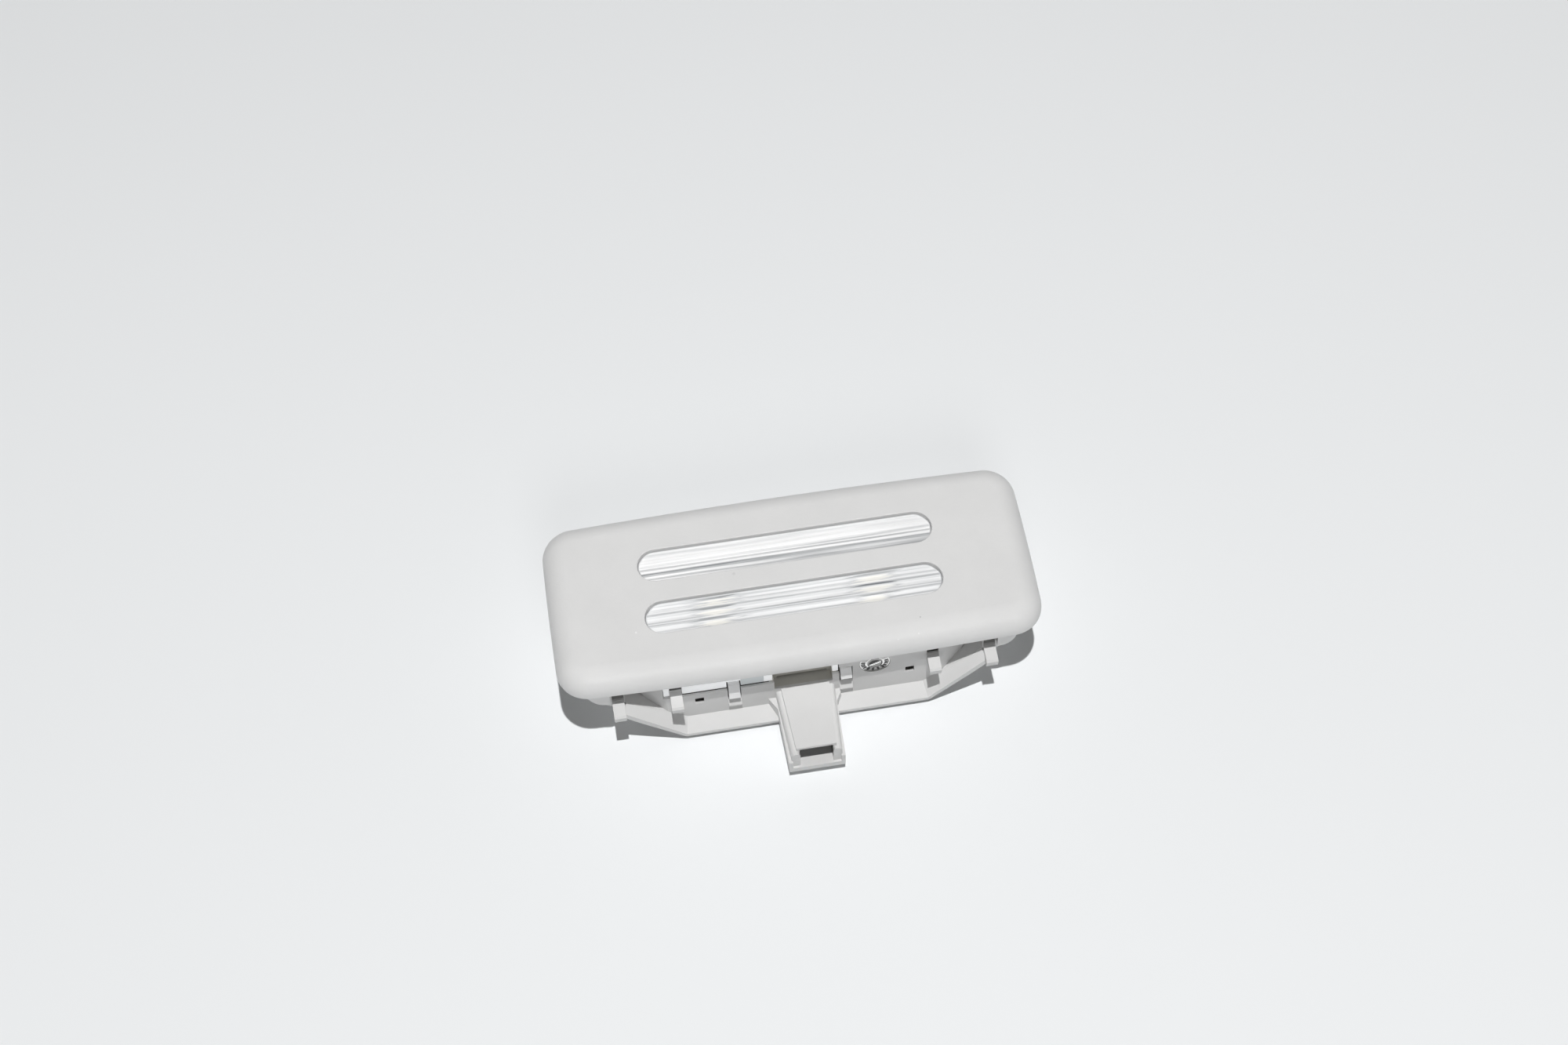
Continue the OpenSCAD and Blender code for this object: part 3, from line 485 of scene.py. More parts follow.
def housing_material(name, colour):
    """Satin plastic with painted shade inside the closed body, in the socket and in the lug slots, and
    lighter painted shade in the recess over the connector, where little light reaches
    """
    recess_painted_shade = grey(0.5, 0.08)
    painted_shade_grey = grey(0.055, 0.1)
    material = moulded_plastic(name, colour, roughness=0.42, grain=0.5 * MM, grain_height=0.003 * MM)
    x, y, z = coordinates(material)
    side = size_of(material, x)
    depth = add(material, size_of(material, y), product(material, z, WALL_LEAN))
    inside = less(material, depth, WALL_BACK_Y - WALL_SKIN)
    over_plug = between(material, x, *RECESS_X)
    # Painted shade inside the closed body and in the socket
    body = product(material, inside, less(material, side, LUG_X[0] - LUG_SLOT_HALF_W),
                   between(material, z, *INSIDE_Z), subtract(material, 1.0, over_plug))
    socket = product(material, less(material, side, SOCKET_HALF_W), between(material, z, *SOCKET_Z),
                     between(material, y, *SOCKET_Y))
    dark = larger(material, body, socket)
    # Painted shade in the lug slots
    for lug_x, darkness in zip(LUG_X, LUG_SLOT_PAINTED_SHADE):
        slot = product(material, inside, between(material, z, *LUG_SLOT_Z),
                       between(material, side, lug_x - LUG_SLOT_HALF_W, lug_x + LUG_SLOT_HALF_W))
        dark = larger(material, dark, product(material, slot, darkness))
    # Lighter painted shade in the recess over the connector
    recess = product(material, inside, over_plug)
    tone = mix_colour(material, recess, base_colour(material), recess_painted_shade)
    tone = mix_colour(material, dark, tone, painted_shade_grey)
    feed(material, principled(material).inputs["Base Color"], tone)
    return material


def far_window_darkness(material, x, across):
    """Painted shade of the far window: grey lines and the veil, by the distance across it from its middle"""
    veil = product(material, remap(material, across, *VEIL_Y, VEIL_PAINTED_SHADE, 0),
                   remap(material, x, *VEIL_X, 0, 1))
    return larger(material, soft_lines(material, across, FAR_PAINTED_LINES), veil)


def near_window_look(material, x, across, rows, is_near):
    """Painted shade of the near window and the painted glow of its two lamps, which the ribs of the lens
    break up
    """
    from_led = size_of(material, subtract(material, size_of(material, x), LED_X))
    blur = remap(material, rows, *WIDE, -LED_ENDS_BLUR, LED_ENDS_BLUR)
    from_led = add(material, from_led, blur)
    at_led = product(material, remap(material, from_led, *LED_GLOW_X, 1, 0), is_near)
    turn = product(material, add(material, across, LED_RIB_SHIFT), 2 * math.pi / LENS_RIB_PITCH)
    rib = maths(material, "COSINE", turn)
    gap = product(material, remap(material, rib, *LED_GAP_WAVE, LED_GAP_PAINTED_SHADE, 0),
                  remap(material, from_led, *LED_GAP_X, 1, 0))
    rim_start, rim_middle, rim_end = LED_RIM_X
    rim = product(material, remap(material, from_led, rim_start, rim_middle, 0, LED_RIM_PAINTED_SHADE),
                  remap(material, from_led, rim_middle, rim_end, 1, 0))
    glow = product(material, remap(material, rib, *LED_GLOW_WAVE, 0, 1), at_led)
    dark = larger(material, soft_lines(material, across, NEAR_PAINTED_LINES), rim)
    dark = larger(material, product(material, dark, subtract(material, 1.0, glow)), gap)
    return dark, glow


def window_edge(material, x, y):
    """Painted shade that rises towards the stadium-shaped edge of each window, where the slot wall shades
    the lens
    """
    past_end = larger(material, subtract(material, size_of(material, x), SLOT_END_X), 0.0)
    off_middle = subtract(material, size_of(material, y), SLOT_Y)
    square = add(material, product(material, past_end, past_end), product(material, off_middle, off_middle))
    from_middle = maths(material, "SQRT", square)
    return remap(material, from_middle, *EDGE_FROM_MIDDLE, 0, EDGE_PAINTED_SHADE)


def lens_material(name):
    """Ribbed clear plastic over a white reflector, with painted reflections: bright and grey lines of the
    reflector seen through the ribs, cream painted over the two lamps, and a painted glow in the windows and
    the apron
    """
    material, shader = new_material(name)
    x, y, z = coordinates(material)
    flow = stretched_place(material, (LENS_STRETCH, 1.0, 1.0))
    streak = noise(material, flow, LENS_STREAK * MM, 2.0, 0.5)
    sway = noise(material, flow, LENS_SWAY * MM, 2.0, 0.5)
    rows = noise(material, flow, LENS_ROWS * MM, 1.0, 0.5)
    across = add(material, y, remap(material, sway, *WIDE, -LENS_SWAY_SHIFT, LENS_SWAY_SHIFT))
    is_far = greater(material, y, 0.0)
    is_near = subtract(material, 1.0, is_far)
    far_dark = far_window_darkness(material, x, subtract(material, across, SLOT_Y))
    near_dark, glow = near_window_look(material, x, add(material, across, SLOT_Y), rows, is_near)

    # Painted shade and dark reflections in both windows
    lines = add(material, product(material, far_dark, is_far), product(material, near_dark, is_near))
    streaky = product(material, lines, remap(material, streak, *NARROW, *STREAK_ON_LINES))
    dark = add(material, streaky, remap(material, streak, *STREAK_DARK_PART, STREAK_DARKNESS, 0.0))
    dark = add(material, dark, remap(material, x, *RIGHT_X, 0, RIGHT_PAINTED_SHADE))
    dark = larger(material, dark, window_edge(material, x, y))
    # Painted light: the lit reflector seen through the lens, paler in the far window, and cream over the
    # lamps
    bright = mix_colour(material, is_far, NEAR_WINDOW_PAINTED_LIGHT, FAR_WINDOW_PAINTED_LIGHT)
    bright = mix_colour(material, glow, bright, WINDOW_PAINTED_LAMP_COLOUR)
    tone = mix_colour(material, dark, bright, WINDOW_PAINTED_SHADE_COLOUR)

    # Apron: painted white and bluish, glowing as if lit from inside
    in_front = product(material, less(material, y, APRON_Y), less(material, z, APRON_Z))
    bluish = between(material, x, *APRON_BLUISH_X)
    apron = mix_colour(material, bluish, APRON_GLOW_COLOUR, APRON_BLUISH_COLOUR)
    tone = mix_colour(material, in_front, tone, apron)
    feed(material, shader.inputs["Base Color"], tone)
    # Painted glow: the windows shine faintly and the apron strongly
    feed(material, shader.inputs["Emission Color"], tone)
    glow_strength = remap(material, in_front, 0, 1, WINDOW_PAINTED_GLOW, FRONT_PAINTED_GLOW)
    feed(material, shader.inputs["Emission Strength"], glow_strength)
    feed(material, shader.inputs["Roughness"], remap(material, streak, *WIDE, *LENS_ROUGHNESS))
    shader.inputs["IOR"].default_value = LENS_IOR
    shader.inputs["Specular IOR Level"].default_value = LENS_SPECULAR
    bumps(material, streak, LENS_BUMP * MM)
    return material


def rolled_metal(name):
    """Rolled bright metal with fine scratches that run along Y and Z"""
    material, shader = new_material(name)
    scratch_w = 0.12 * MM
    stretch = 0.08
    place = stretched_place(material, (1.0, stretch, stretch))
    scratch = noise(material, place, scratch_w, 3.0, 0.6)
    tone = mix_colour(material, remap(material, scratch, *WIDE, 0, 1), grey(0.38), grey(0.56))
    feed(material, shader.inputs["Base Color"], tone)
    feed(material, shader.inputs["Roughness"], remap(material, scratch, *WIDE, 0.32, 0.46))
    shader.inputs["Metallic"].default_value = 1.0
    bumps(material, scratch, 0.004 * MM)
    return material


def dial_highlight_material(name):
    """White plastic with a faint painted glow, for the dial's patches, which stand for highlights"""
    material = moulded_plastic(name, DIAL_HIGHLIGHT_COLOUR,
                               roughness=0.38, grain=0.3 * MM, grain_height=0.003 * MM)
    shader = principled(material)
    shader.inputs["Emission Color"].default_value = WHITE
    shader.inputs["Emission Strength"].default_value = FRONT_PAINTED_GLOW
    return material


# Mesh helpers

def mesh_object(name, points, faces):
    """New object from points in millimetres"""
    mesh = bpy.data.meshes.new(name)
    mesh.from_pydata([Vector(p) * MM for p in points], [], faces)
    mesh.update()
    obj = bpy.data.objects.new(name, mesh)
    bpy.context.scene.collection.objects.link(obj)
    return obj


def loft(name, rings):
    """Closed solid through rings of points, with flat ends"""
    n = len(rings[0])
    points = [p for ring in rings for p in ring]
    faces = [list(range(n - 1, -1, -1)), [(len(rings) - 1) * n + i for i in range(n)]]
    for k in range(len(rings) - 1):
        for i in range(n):
            j = (i + 1) % n
            faces.append([k * n + i, k * n + j, (k + 1) * n + j, (k + 1) * n + i])
    return mesh_object(name, points, faces)


def prism_z(name, outline, low, high):
    """Closed prism along Z from an outline of (x, y) points, anticlockwise seen from +Z"""
    return loft(name, [flat_ring(outline, z) for z in (low, high)])


def box(name, low, high):
    """Closed box between two corners"""
    (x1, y1, z1), (x2, y2, z2) = low, high
    return prism_z(name, [(x1, y1), (x2, y1), (x2, y2), (x1, y2)], z1, z2)


def prism_x(name, x1, x2, outline):
    """Closed prism along X from an outline of (y, z) points, anticlockwise seen from +X"""
    return loft(name, [[(x, y, z) for y, z in outline] for x in (x1, x2)])


def bake(obj):
    """Makes the object's modifiers part of its mesh"""
    graph = bpy.context.evaluated_depsgraph_get()
    mesh = bpy.data.meshes.new_from_object(obj.evaluated_get(graph))
    obj.modifiers.clear()
    obj.data = mesh


def combine(obj, other, operation):
    """Joins a solid to the object or cuts it out of it, and removes the tool solid"""
    modifier = obj.modifiers.new(operation.lower(), "BOOLEAN")
    modifier.operation = operation
    modifier.object = other
    modifier.solver = "EXACT"
    bake(obj)
    bpy.data.objects.remove(other)


def weight_normals(obj, weight, keep_sharp):
    """Lets the large faces decide how the small ones between them are shaded"""
    weighted = obj.modifiers.new("weighted", "WEIGHTED_NORMAL")
    weighted.keep_sharp = keep_sharp
    weighted.weight = weight


def keep_edges_sharp(obj, angle):
    """Modifier that shades the edges steeper than an angle, in degrees, as sharp"""
    tree = bpy.data.node_groups.new("sharp_edges", "GeometryNodeTree")
    tree.interface.new_socket("Mesh", in_out="INPUT", socket_type="NodeSocketGeometry")
    tree.interface.new_socket("Mesh", in_out="OUTPUT", socket_type="NodeSocketGeometry")
    start = tree.nodes.new("NodeGroupInput")
    end = tree.nodes.new("NodeGroupOutput")
    edge_angle = tree.nodes.new("GeometryNodeInputMeshEdgeAngle")
    steep = tree.nodes.new("FunctionNodeCompare")
    steep.data_type = "FLOAT"
    steep.operation = "GREATER_THAN"
    steep.inputs["B"].default_value = math.radians(angle)
    shade = tree.nodes.new("GeometryNodeSetShadeSmooth")
    shade.domain = "EDGE"
    shade.inputs["Shade Smooth"].default_value = False
    tree.links.new(edge_angle.outputs["Unsigned Angle"], steep.inputs["A"])
    tree.links.new(steep.outputs["Result"], shade.inputs["Selection"])
    tree.links.new(start.outputs["Mesh"], shade.inputs["Geometry"])
    tree.links.new(shade.outputs["Geometry"], end.inputs["Mesh"])
    modifier = obj.modifiers.new("sharp", "NODES")
    modifier.node_group = tree


def smooth_cad(obj):
    """Joins a CAD node's triangles into flat faces and shades them smooth between its real edges"""
    weld_reach = 0.0005
    flat_angle = 0.5
    sharp_angle = 28
    weld = obj.modifiers.new("weld", "WELD")
    weld.merge_threshold = weld_reach * MM
    flat = obj.modifiers.new("flat", "DECIMATE")
    flat.decimate_type = "DISSOLVE"
    flat.angle_limit = math.radians(flat_angle)
    keep_edges_sharp(obj, sharp_angle)
    weight_normals(obj, 80, keep_sharp=True)


# Outlines seen from above

def circle_cross(side_reach, side_back, end_reach, end_back):
    """Centre of the corner arcs: where the two inner arcs cross, in the quarter x, y > 0"""
    d = math.hypot(side_back, end_back)
    a = (side_reach ** 2 - end_reach ** 2 + d ** 2) / (2 * d)
    h = math.sqrt(side_reach ** 2 - a ** 2)
    ux, uy = -end_back / d, side_back / d
    x = a * ux + h * uy
    y = -side_back + a * uy - h * ux
    return x, y


def bow_radius(half, bow):
    """Radius of an arc that rises by bow over a side of twice the half length"""
    return half ** 2 / (2 * bow) + bow / 2


def bezel_outline(inset, end_steps=10, corner_steps=20, side_steps=28):
    """Points round the bezel, drawn in by inset: arcs for the ends, the corners and the long sides"""
    side_r = bow_radius(BEZEL_L / 2, SIDE_BOW)
    end_r = bow_radius(BEZEL_W / 2, END_BOW)
    side_back = side_r - BEZEL_W / 2
    end_back = end_r - BEZEL_L / 2
    corner_x, corner_y = circle_cross(side_r - CORNER_R, side_back, end_r - CORNER_R, end_back)
    side_angle = math.atan2(corner_x, corner_y + side_back)
    end_angle = math.atan2(corner_y, corner_x + end_back)
    corner_r = CORNER_R - inset
    quarter = []
    for i in range(end_steps):
        a = end_angle * i / end_steps
        quarter.append(((end_r - inset) * math.cos(a) - end_back, (end_r - inset) * math.sin(a)))
    for i in range(corner_steps + 1):
        a = end_angle + (math.pi / 2 - end_angle - side_angle) * i / corner_steps
        quarter.append((corner_x + corner_r * math.cos(a), corner_y + corner_r * math.sin(a)))
    for i in range(side_steps - 1, 0, -1):
        a = side_angle * i / side_steps
        quarter.append(((side_r - inset) * math.sin(a), (side_r - inset) * math.cos(a) - side_back))
    half = quarter + [(0.0, BEZEL_W / 2 - inset)] + [(-x, y) for x, y in reversed(quarter[1:])]
    return half + [(-x, -y) for x, y in half]


def stadium_outline(length, width, steps=24):
    """Points round a stadium centred on the origin, anticlockwise"""
    r = width / 2
    centre = length / 2 - r
    angles = [math.pi * i / steps for i in range(steps + 1)]
    right = [(centre + r * math.sin(a), -r * math.cos(a)) for a in angles]
    return right + [(-x, -y) for x, y in right]


def rounded_outline(length, width, r, steps=10):
    """Points round a rounded rectangle centred on the origin, anticlockwise"""
    corner_x = length / 2 - r
    corner_y = width / 2 - r
    points = []
    for k, (sx, sy) in enumerate(((1, 1), (-1, 1), (-1, -1), (1, -1))):
        for i in range(steps + 1):
            a = math.pi / 2 * (k + i / steps)
            points.append((sx * corner_x + r * math.cos(a), sy * corner_y + r * math.sin(a)))
    return points


def flat_ring(outline, z, y=0.0):
    """The outline's points at one height, moved along Y"""
    return [(px, py + y, z) for px, py in outline]


# Bezel

def bezel_shell():
    """Outside of the bezel with its rounded shoulder and a fine lower edge"""
    edge_steps = 3
    shoulder_steps = 14
    rings = []
    for i in range(edge_steps + 1):
        a = math.pi / 2 * i / edge_steps
        inset = EDGE_R * (1 - math.sin(a))
        rings.append(flat_ring(bezel_outline(inset), EDGE_Z + EDGE_R * (1 - math.cos(a))))
    for i in range(shoulder_steps + 1):
        a = math.pi / 2 * i / shoulder_steps
        inset = SHOULDER_R * (1 - math.cos(a))
        rings.append(flat_ring(bezel_outline(inset), TOTAL_H - SHOULDER_R * (1 - math.sin(a))))
    return loft("bezel_body", rings)


def slot_cutter(y):
    """Stadium that cuts one window slot and rounds its upper rim"""
    rim_steps = 5
    narrow = stadium_outline(SLOT_L - 2 * SLOT_TAPER, SLOT_W - 2 * SLOT_TAPER)
    rings = [flat_ring(narrow, z, y) for z in (TOTAL_H - BEZEL_SKIN - OVERCUT, LENS_TOP)]
    for i in range(rim_steps + 1):
        a = math.pi / 2 * i / rim_steps
        out = SLOT_EDGE_R * (1 - math.cos(a))
        z = TOTAL_H - SLOT_EDGE_R * (1 - math.sin(a))
        rings.append(flat_ring(stadium_outline(SLOT_L + 2 * out, SLOT_W + 2 * out), z, y))
    last = stadium_outline(SLOT_L + 2 * SLOT_EDGE_R, SLOT_W + 2 * SLOT_EDGE_R)
    rings.append(flat_ring(last, TOTAL_H + OVERCUT, y))
    return loft("slot", rings)


def skirts():
    """C-shaped walls under both ends of the bezel"""
    outer = rounded_outline(SKIRT_L, SKIRT_W, SKIRT_CORNER_R)
    inner_l = SKIRT_L - 2 * SKIRT_WALL
    inner_w = SKIRT_W - 2 * SKIRT_WALL
    inner = rounded_outline(inner_l, inner_w, SKIRT_CORNER_R - SKIRT_WALL)
    walls = prism_z("skirts", outer, SKIRT_LOW, SKIRT_HIGH)
    combine(walls, prism_z("inner", inner, SKIRT_LOW - OVERCUT, SKIRT_HIGH + OVERCUT), "DIFFERENCE")
    middle = box("middle", (-SKIRT_GAP_L / 2, -BEZEL_W, 0), (SKIRT_GAP_L / 2, BEZEL_W, TOTAL_H))
    combine(walls, middle, "DIFFERENCE")
    return walls


def skirt_end(side):
    """Straight wall that closes the skirt at one end, up into the bezel's skin"""
    ends = (side * (SKIRT_L / 2 - SKIRT_WALL), side * SKIRT_L / 2)
    reach = SKIRT_W / 2 - SKIRT_CORNER_R
    top = TOTAL_H - BEZEL_SKIN + OVERLAP
    return box("end_wall", (min(ends), -reach, SKIRT_LOW), (max(ends), reach, top))


def snap_arm(x, side, height):
    """Arm with a rounded hook that reaches through the housing's wall"""
    low = HOOK_HIGH - height
    top = TOTAL_H - BEZEL_SKIN + OVERLAP
    back_y = ARM_Y - ARM_T
    high_y = HOOK_Y - HOOK_SLOPE_IN
    nose_out, nose_up = HOOK_NOSE
    lip_steps = 4
    lip = []
    for i in range(lip_steps + 1):
        a = math.pi / 2 * i / lip_steps
        lip.append((high_y - HOOK_LIP_R * (1 - math.sin(a)), HOOK_HIGH - HOOK_LIP_R * (1 - math.cos(a))))
    section = [(ARM_Y, top), (ARM_Y, HOOK_HIGH)] + lip
    section += [(HOOK_Y + nose_out, low + nose_up), (ARM_Y + HOOK_FOOT_OUT, low)]
    section += [(back_y, low), (back_y, top)]
    if side < 0:
        section = [(-y, z) for y, z in section]
    else:
        section.reverse()
    return prism_x("arm", x - ARM_W / 2, x + ARM_W / 2, section)


def hollow_out(bezel):
    """Cuts the bezel's stepped inside: wide at the edge, narrower under the shoulder"""
    low_l = BEZEL_L - 2 * END_BOW - 2 * BEZEL_SKIN
    low_w = BEZEL_W - 2 * SIDE_BOW - 2 * BEZEL_SKIN
    r = CORNER_R - BEZEL_SKIN
    lower = rounded_outline(low_l, low_w, r)
    step_z = TOTAL_H - SHOULDER_R + HOLLOW_STEP_UP
    combine(bezel, prism_z("hollow", lower, EDGE_Z - OVERCUT, step_z), "DIFFERENCE")
    high_l = low_l - 2 * HOLLOW_STEP_IN
    high_w = low_w - 2 * HOLLOW_STEP_IN
    upper = rounded_outline(high_l, high_w, r - HOLLOW_STEP_IN / 2)
    combine(bezel, prism_z("hollow", upper, EDGE_Z - OVERCUT, TOTAL_H - BEZEL_SKIN), "DIFFERENCE")


def make_bezel(material):
    """Smooth mesh of the bezel that takes the place of its CAD node"""
    bezel = bezel_shell()
    hollow_out(bezel)
    combine(bezel, skirts(), "UNION")
    for side in (-1, 1):
        combine(bezel, skirt_end(side), "UNION")
    for x, side, height in SNAP_ARMS:
        combine(bezel, snap_arm(x, side, height), "UNION")
    for y in (-SLOT_Y, SLOT_Y):
        combine(bezel, slot_cutter(y), "DIFFERENCE")
    for polygon in bezel.data.polygons:
        polygon.use_smooth = True
    bezel.data.set_sharp_from_angle(angle=math.radians(30))
    weight_normals(bezel, 90, keep_sharp=True)
    bezel.name = "bezel_moulding"
    bezel.data.materials.clear()
    bezel.data.materials.append(material)
    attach(bezel, "root")
    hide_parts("bezel")


# Date dial

def on_wall(x, z, out):
    """Point on the leaning front wall, raised from it by out"""
    return (x, -(WALL_BACK_Y - WALL_LEAN * z) - out, z)


def wall_plate(name, outline, low, high):
    """Closed plate on the front wall from an outline of (x, z) points, anticlockwise seen from the front"""
    return loft(name, [[on_wall(x, z, out) for x, z in outline] for out in (low, high)])


def dial_arc(radius, start, end, steps):
    """Points on an arc round the dial's middle, between two angles in degrees"""
    angles = [math.radians(start + (end - start) * i / steps) for i in range(steps + 1)]
    return [(DIAL_X + radius * math.cos(a), DIAL_Z + radius * math.sin(a)) for a in angles]


def dial_sector(radii, angles, steps=8):
    """Outline of a piece of a ring round the dial's middle"""
    inner, outer = radii
    back = dial_arc(inner, *angles, steps)
    back.reverse()
    return dial_arc(outer, *angles, steps) + back


def dial_bar(angle, ends, half_w):
    """Outline of a straight bar that points away from the dial's middle"""
    inner, outer = ends
    a = math.radians(angle)
    ux, uz = math.cos(a), math.sin(a)
    corners = ((inner, half_w), (inner, -half_w), (outer, -half_w), (outer, half_w))
    return [(DIAL_X + r * ux - s * uz, DIAL_Z + r * uz + s * ux) for r, s in corners]


def join(name, parts, material):
    """One object from several, with one material, riding on the light"""
    mesh = bpy.data.meshes.new(name)
    work = bmesh.new()
    for part in parts:
        work.from_mesh(part.data)
        bpy.data.objects.remove(part)
    work.to_mesh(mesh)
    work.free()
    mesh.materials.append(material)
    obj = bpy.data.objects.new(name, mesh)
    bpy.context.scene.collection.objects.link(obj)
    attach(obj, "root")


def make_dial(pale, dark, middle):
    """Date dial: pale patches, rim and pointer bar as painted highlights, dark ticks, a half disc beside the
    bar and a line as painted shade, and a grey disc under the bar
    """
    # Pale patches, rim and pointer bar: painted highlights
    patches = [wall_plate("patch", dial_sector(PATCH_RADII, angles), DIAL_FLOOR, PATCH_TOP)
               for angles in PATCH_ANGLES]
    rim = dial_sector(DIAL_RIM_RADII, DIAL_RIM_ANGLES, 40)
    patches.append(wall_plate("rim", rim, DIAL_FLOOR, DIAL_RIM_TOP))
    pointer = dial_bar(POINTER_ANGLE, POINTER_ENDS, POINTER_HALF_W)
    patches.append(wall_plate("bar", pointer, HUB_TOP, POINTER_TOP))
    join("dial_patches", patches, pale)

    # Ticks, the half disc beside the pointer and the line: painted shade
    marks = [wall_plate("tick", dial_bar(angle, TICK_RADII, TICK_HALF_W), DIAL_FLOOR, TICK_TOP)
             for angle in TICK_ANGLES]
    half_disc = dial_arc(SHADE_R, POINTER_ANGLE, POINTER_ANGLE + 180, 16)
    marks.append(wall_plate("shade", half_disc, HUB_TOP, SHADE_TOP))
    line = dial_sector(SHADE_LINE_RADII, SHADE_LINE_ANGLES, 24)
    marks.append(wall_plate("line", line, HUB_TOP, SHADE_TOP))
    join("dial_marks", marks, dark)

    disc = dial_arc(DISC_R, 0, 354, 59)
    join("dial_disc", [wall_plate("disc", disc, HUB_TOP, DISC_TOP)], middle)


# Sills of the snap windows

def make_sills(material):
    """Sloped ledge below each snap window of the housing"""
    sills = []
    for x, side, _ in SNAP_ARMS:
        outline = [(side * y, z) for y, z in SILL_SECTION]
        if side > 0:
            outline.reverse()
        sills.append(prism_x("sill", x - SILL_W / 2, x + SILL_W / 2, outline))
    join("window_sills", sills, material)


# Scene

def make_camera():
    right = Vector(CAMERA_RIGHT).normalized()
    up = -Vector(CAMERA_DOWN).normalized()
    back = right.cross(up)
    data = bpy.data.cameras.new("camera")
    data.lens = CAMERA_LENS
    data.sensor_width = SENSOR_W
    data.clip_start = CAMERA_NEAREST
    data.clip_end = CAMERA_FARTHEST
    camera = bpy.data.objects.new("camera", data)
    bpy.context.scene.collection.objects.link(camera)
    turn = Matrix((right, up, back)).transposed().to_4x4()
    camera.matrix_world = Matrix.Translation(Vector(CAMERA_PLACE) * MM) @ turn
    bpy.context.scene.camera = camera


def soft_light(name, tilt, distance, size, level):
    """Round light on the viewer's side, tilted from the vertical and turned to the part"""
    direction = Vector((0.0, -math.sin(math.radians(tilt)), math.cos(math.radians(tilt))))
    data = bpy.data.lights.new(name, "AREA")
    data.shape = "DISK"
    data.size = size
    data.energy = level * math.pi ** 2 * distance ** 2
    light = bpy.data.objects.new(name, data)
    bpy.context.scene.collection.objects.link(light)
    light.location = direction * distance
    light.rotation_mode = "QUATERNION"
    light.rotation_quaternion = direction.to_track_quat("Z", "Y")
    return light


def sees_backdrop(holder):
    """1 for rays from the camera and for those that a surface mirrors or lets through, otherwise 0"""
    path = add_node(holder, "ShaderNodeLightPath")
    mirrored = larger(holder, path.outputs["Is Glossy Ray"], path.outputs["Is Transmission Ray"])
    return larger(holder, path.outputs["Is Camera Ray"], mirrored)


def make_light():
    """The overhead lamp, which surfaces don't mirror, the panel that they do, and the surround"""
    lamp = soft_light("lamp", LAMP_TILT, LAMP_DISTANCE, LAMP_SIZE, LAMP_LEVEL)
    lamp.visible_glossy = False
    soft_light("panel", 90 - PANEL_HEIGHT, PANEL_DISTANCE, PANEL_SIZE, PANEL_LEVEL)
    world = bpy.data.worlds.new("surround")
    world.use_nodes = True
    background = world.node_tree.nodes["Background"]
    seen = sees_backdrop(world)
    colour = mix_colour(world, seen, SURROUND_COLOUR, BACKDROP_COLOUR)
    feed(world, background.inputs["Color"], colour)
    feed(world, background.inputs["Strength"], remap(world, seen, 0, 1, SURROUND, BACKDROP))
    bpy.context.scene.world = world


def make_floor():
    """Pale floor that fades into the backdrop far away from the part"""
    reach = FLOOR_REACH
    corners = [(-reach, -reach, 0), (reach, -reach, 0), (reach, reach, 0), (-reach, reach, 0)]
    floor = mesh_object("floor", corners, [[0, 1, 2, 3]])
    floor.location.z = -FLOOR_DROP
    material, shader = new_material("floor")
    place = object_place(material)
    cloud = noise(material, place, FLOOR_CLOUD_SIZE, 2.0, 0.5)
    feed(material, shader.inputs["Base Color"], mix_colour(material, cloud, *FLOOR_COLOURS))
    shader.inputs["Roughness"].default_value = FLOOR_ROUGHNESS
    shader.inputs["Specular IOR Level"].default_value = FLOOR_SPECULAR
    away = add_node(material, "ShaderNodeVectorMath", {0: place}, operation="LENGTH").outputs["Value"]
    far = remap(material, away, FADE_START, FADE_END, 0, 1)
    fade = product(material, far, sees_backdrop(material))
    backdrop = add_node(material, "ShaderNodeEmission", {"Color": BACKDROP_COLOUR, "Strength": BACKDROP})
    mix = add_node(material, "ShaderNodeMixShader",
                   {0: fade, 1: shader.outputs["BSDF"], 2: backdrop.outputs["Emission"]})
    surface = material.node_tree.nodes["Material Output"].inputs["Surface"]
    feed(material, surface, mix.outputs["Shader"])
    floor.data.materials.append(material)


def dress(name, material):
    """Gives a CAD node its material"""
    obj = NODES[name]
    obj.data.materials.clear()
    obj.data.materials.append(material)


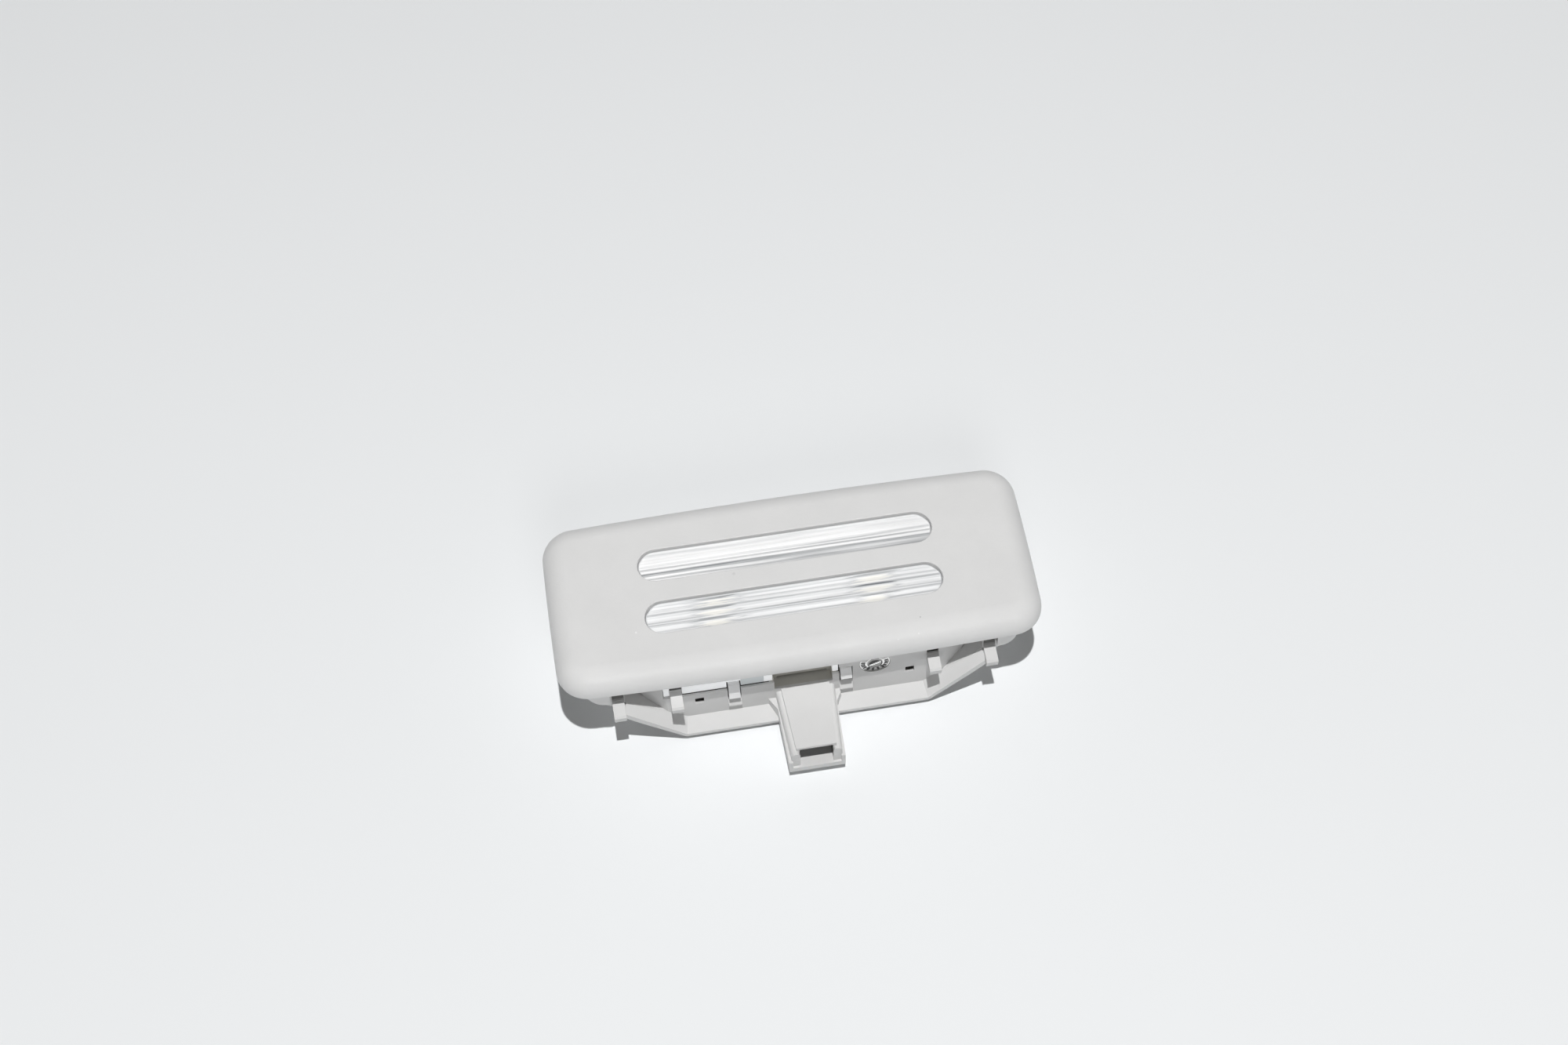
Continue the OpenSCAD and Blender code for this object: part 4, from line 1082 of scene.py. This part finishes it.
def dress_inside():
    """Materials of the nodes inside the light and of the spring clips"""
    reflector_white = moulded_plastic("reflector_white", REFLECTOR_COLOUR,
                                      roughness=0.38, grain=0.5 * MM, grain_height=0.002 * MM)
    board_white = moulded_plastic("board_white", BOARD_COLOUR,
                                  roughness=0.38, grain=0.5 * MM, grain_height=0.002 * MM)
    lamp_cream = moulded_plastic("lamp_cream", LAMP_COLOUR,
                                 roughness=0.38, grain=0.3 * MM, grain_height=0.002 * MM)
    pin_tin = rolled_metal("pin_tin")
    clip_steel = rolled_metal("clip_steel")
    chip_black = moulded_plastic("chip_black", CHIP_COLOUR,
                                 roughness=0.45, grain=0.2 * MM, grain_height=0.004 * MM, blotch=0.1)
    capacitor_tan = moulded_plastic("capacitor_tan", CAPACITOR_COLOUR,
                                    roughness=0.5, grain=0.2 * MM, grain_height=0.003 * MM, blotch=0.1)
    dress("reflector", reflector_white)
    dress("circuit_board", board_white)
    for side in ("left", "right"):
        dress("led_" + side, lamp_cream)
        dress("terminal_" + side, pin_tin)
        dress("spring_clip_" + side, clip_steel)
    for name in ("protection_diode", "surge_diode", "driver_transistor"):
        dress(name, chip_black)
    for number in (1, 2, 3, 4):
        dress("resistor_%d" % number, chip_black)
    for number in (1, 2):
        dress("capacitor_%d" % number, capacitor_tan)


make_camera()
make_light()
make_floor()

bezel_plastic = bezel_material("bezel_plastic", BEZEL_COLOUR)
housing_plastic = housing_material("housing_plastic", HOUSING_COLOUR)
lens_plastic = lens_material("lens_plastic")
# Dial materials: painted highlight for the pale parts and painted shade for the dark marks
dial_painted_highlight = dial_highlight_material("dial_painted_highlight")
dial_painted_shade = moulded_plastic("dial_painted_shade", DIAL_SHADE_COLOUR,
                            roughness=0.5, grain=0.3 * MM, grain_height=0.003 * MM)
dial_middle = moulded_plastic("dial_middle", DIAL_MIDDLE_COLOUR,
                              roughness=0.5, grain=0.3 * MM, grain_height=0.003 * MM)

dress("lens", lens_plastic)
dress("housing", housing_plastic)
dress_inside()
make_bezel(bezel_plastic)
smooth_cad(NODES["housing"])
make_dial(dial_painted_highlight, dial_painted_shade, dial_middle)
make_sills(housing_plastic)

bpy.context.scene.view_settings.view_transform = "Standard"
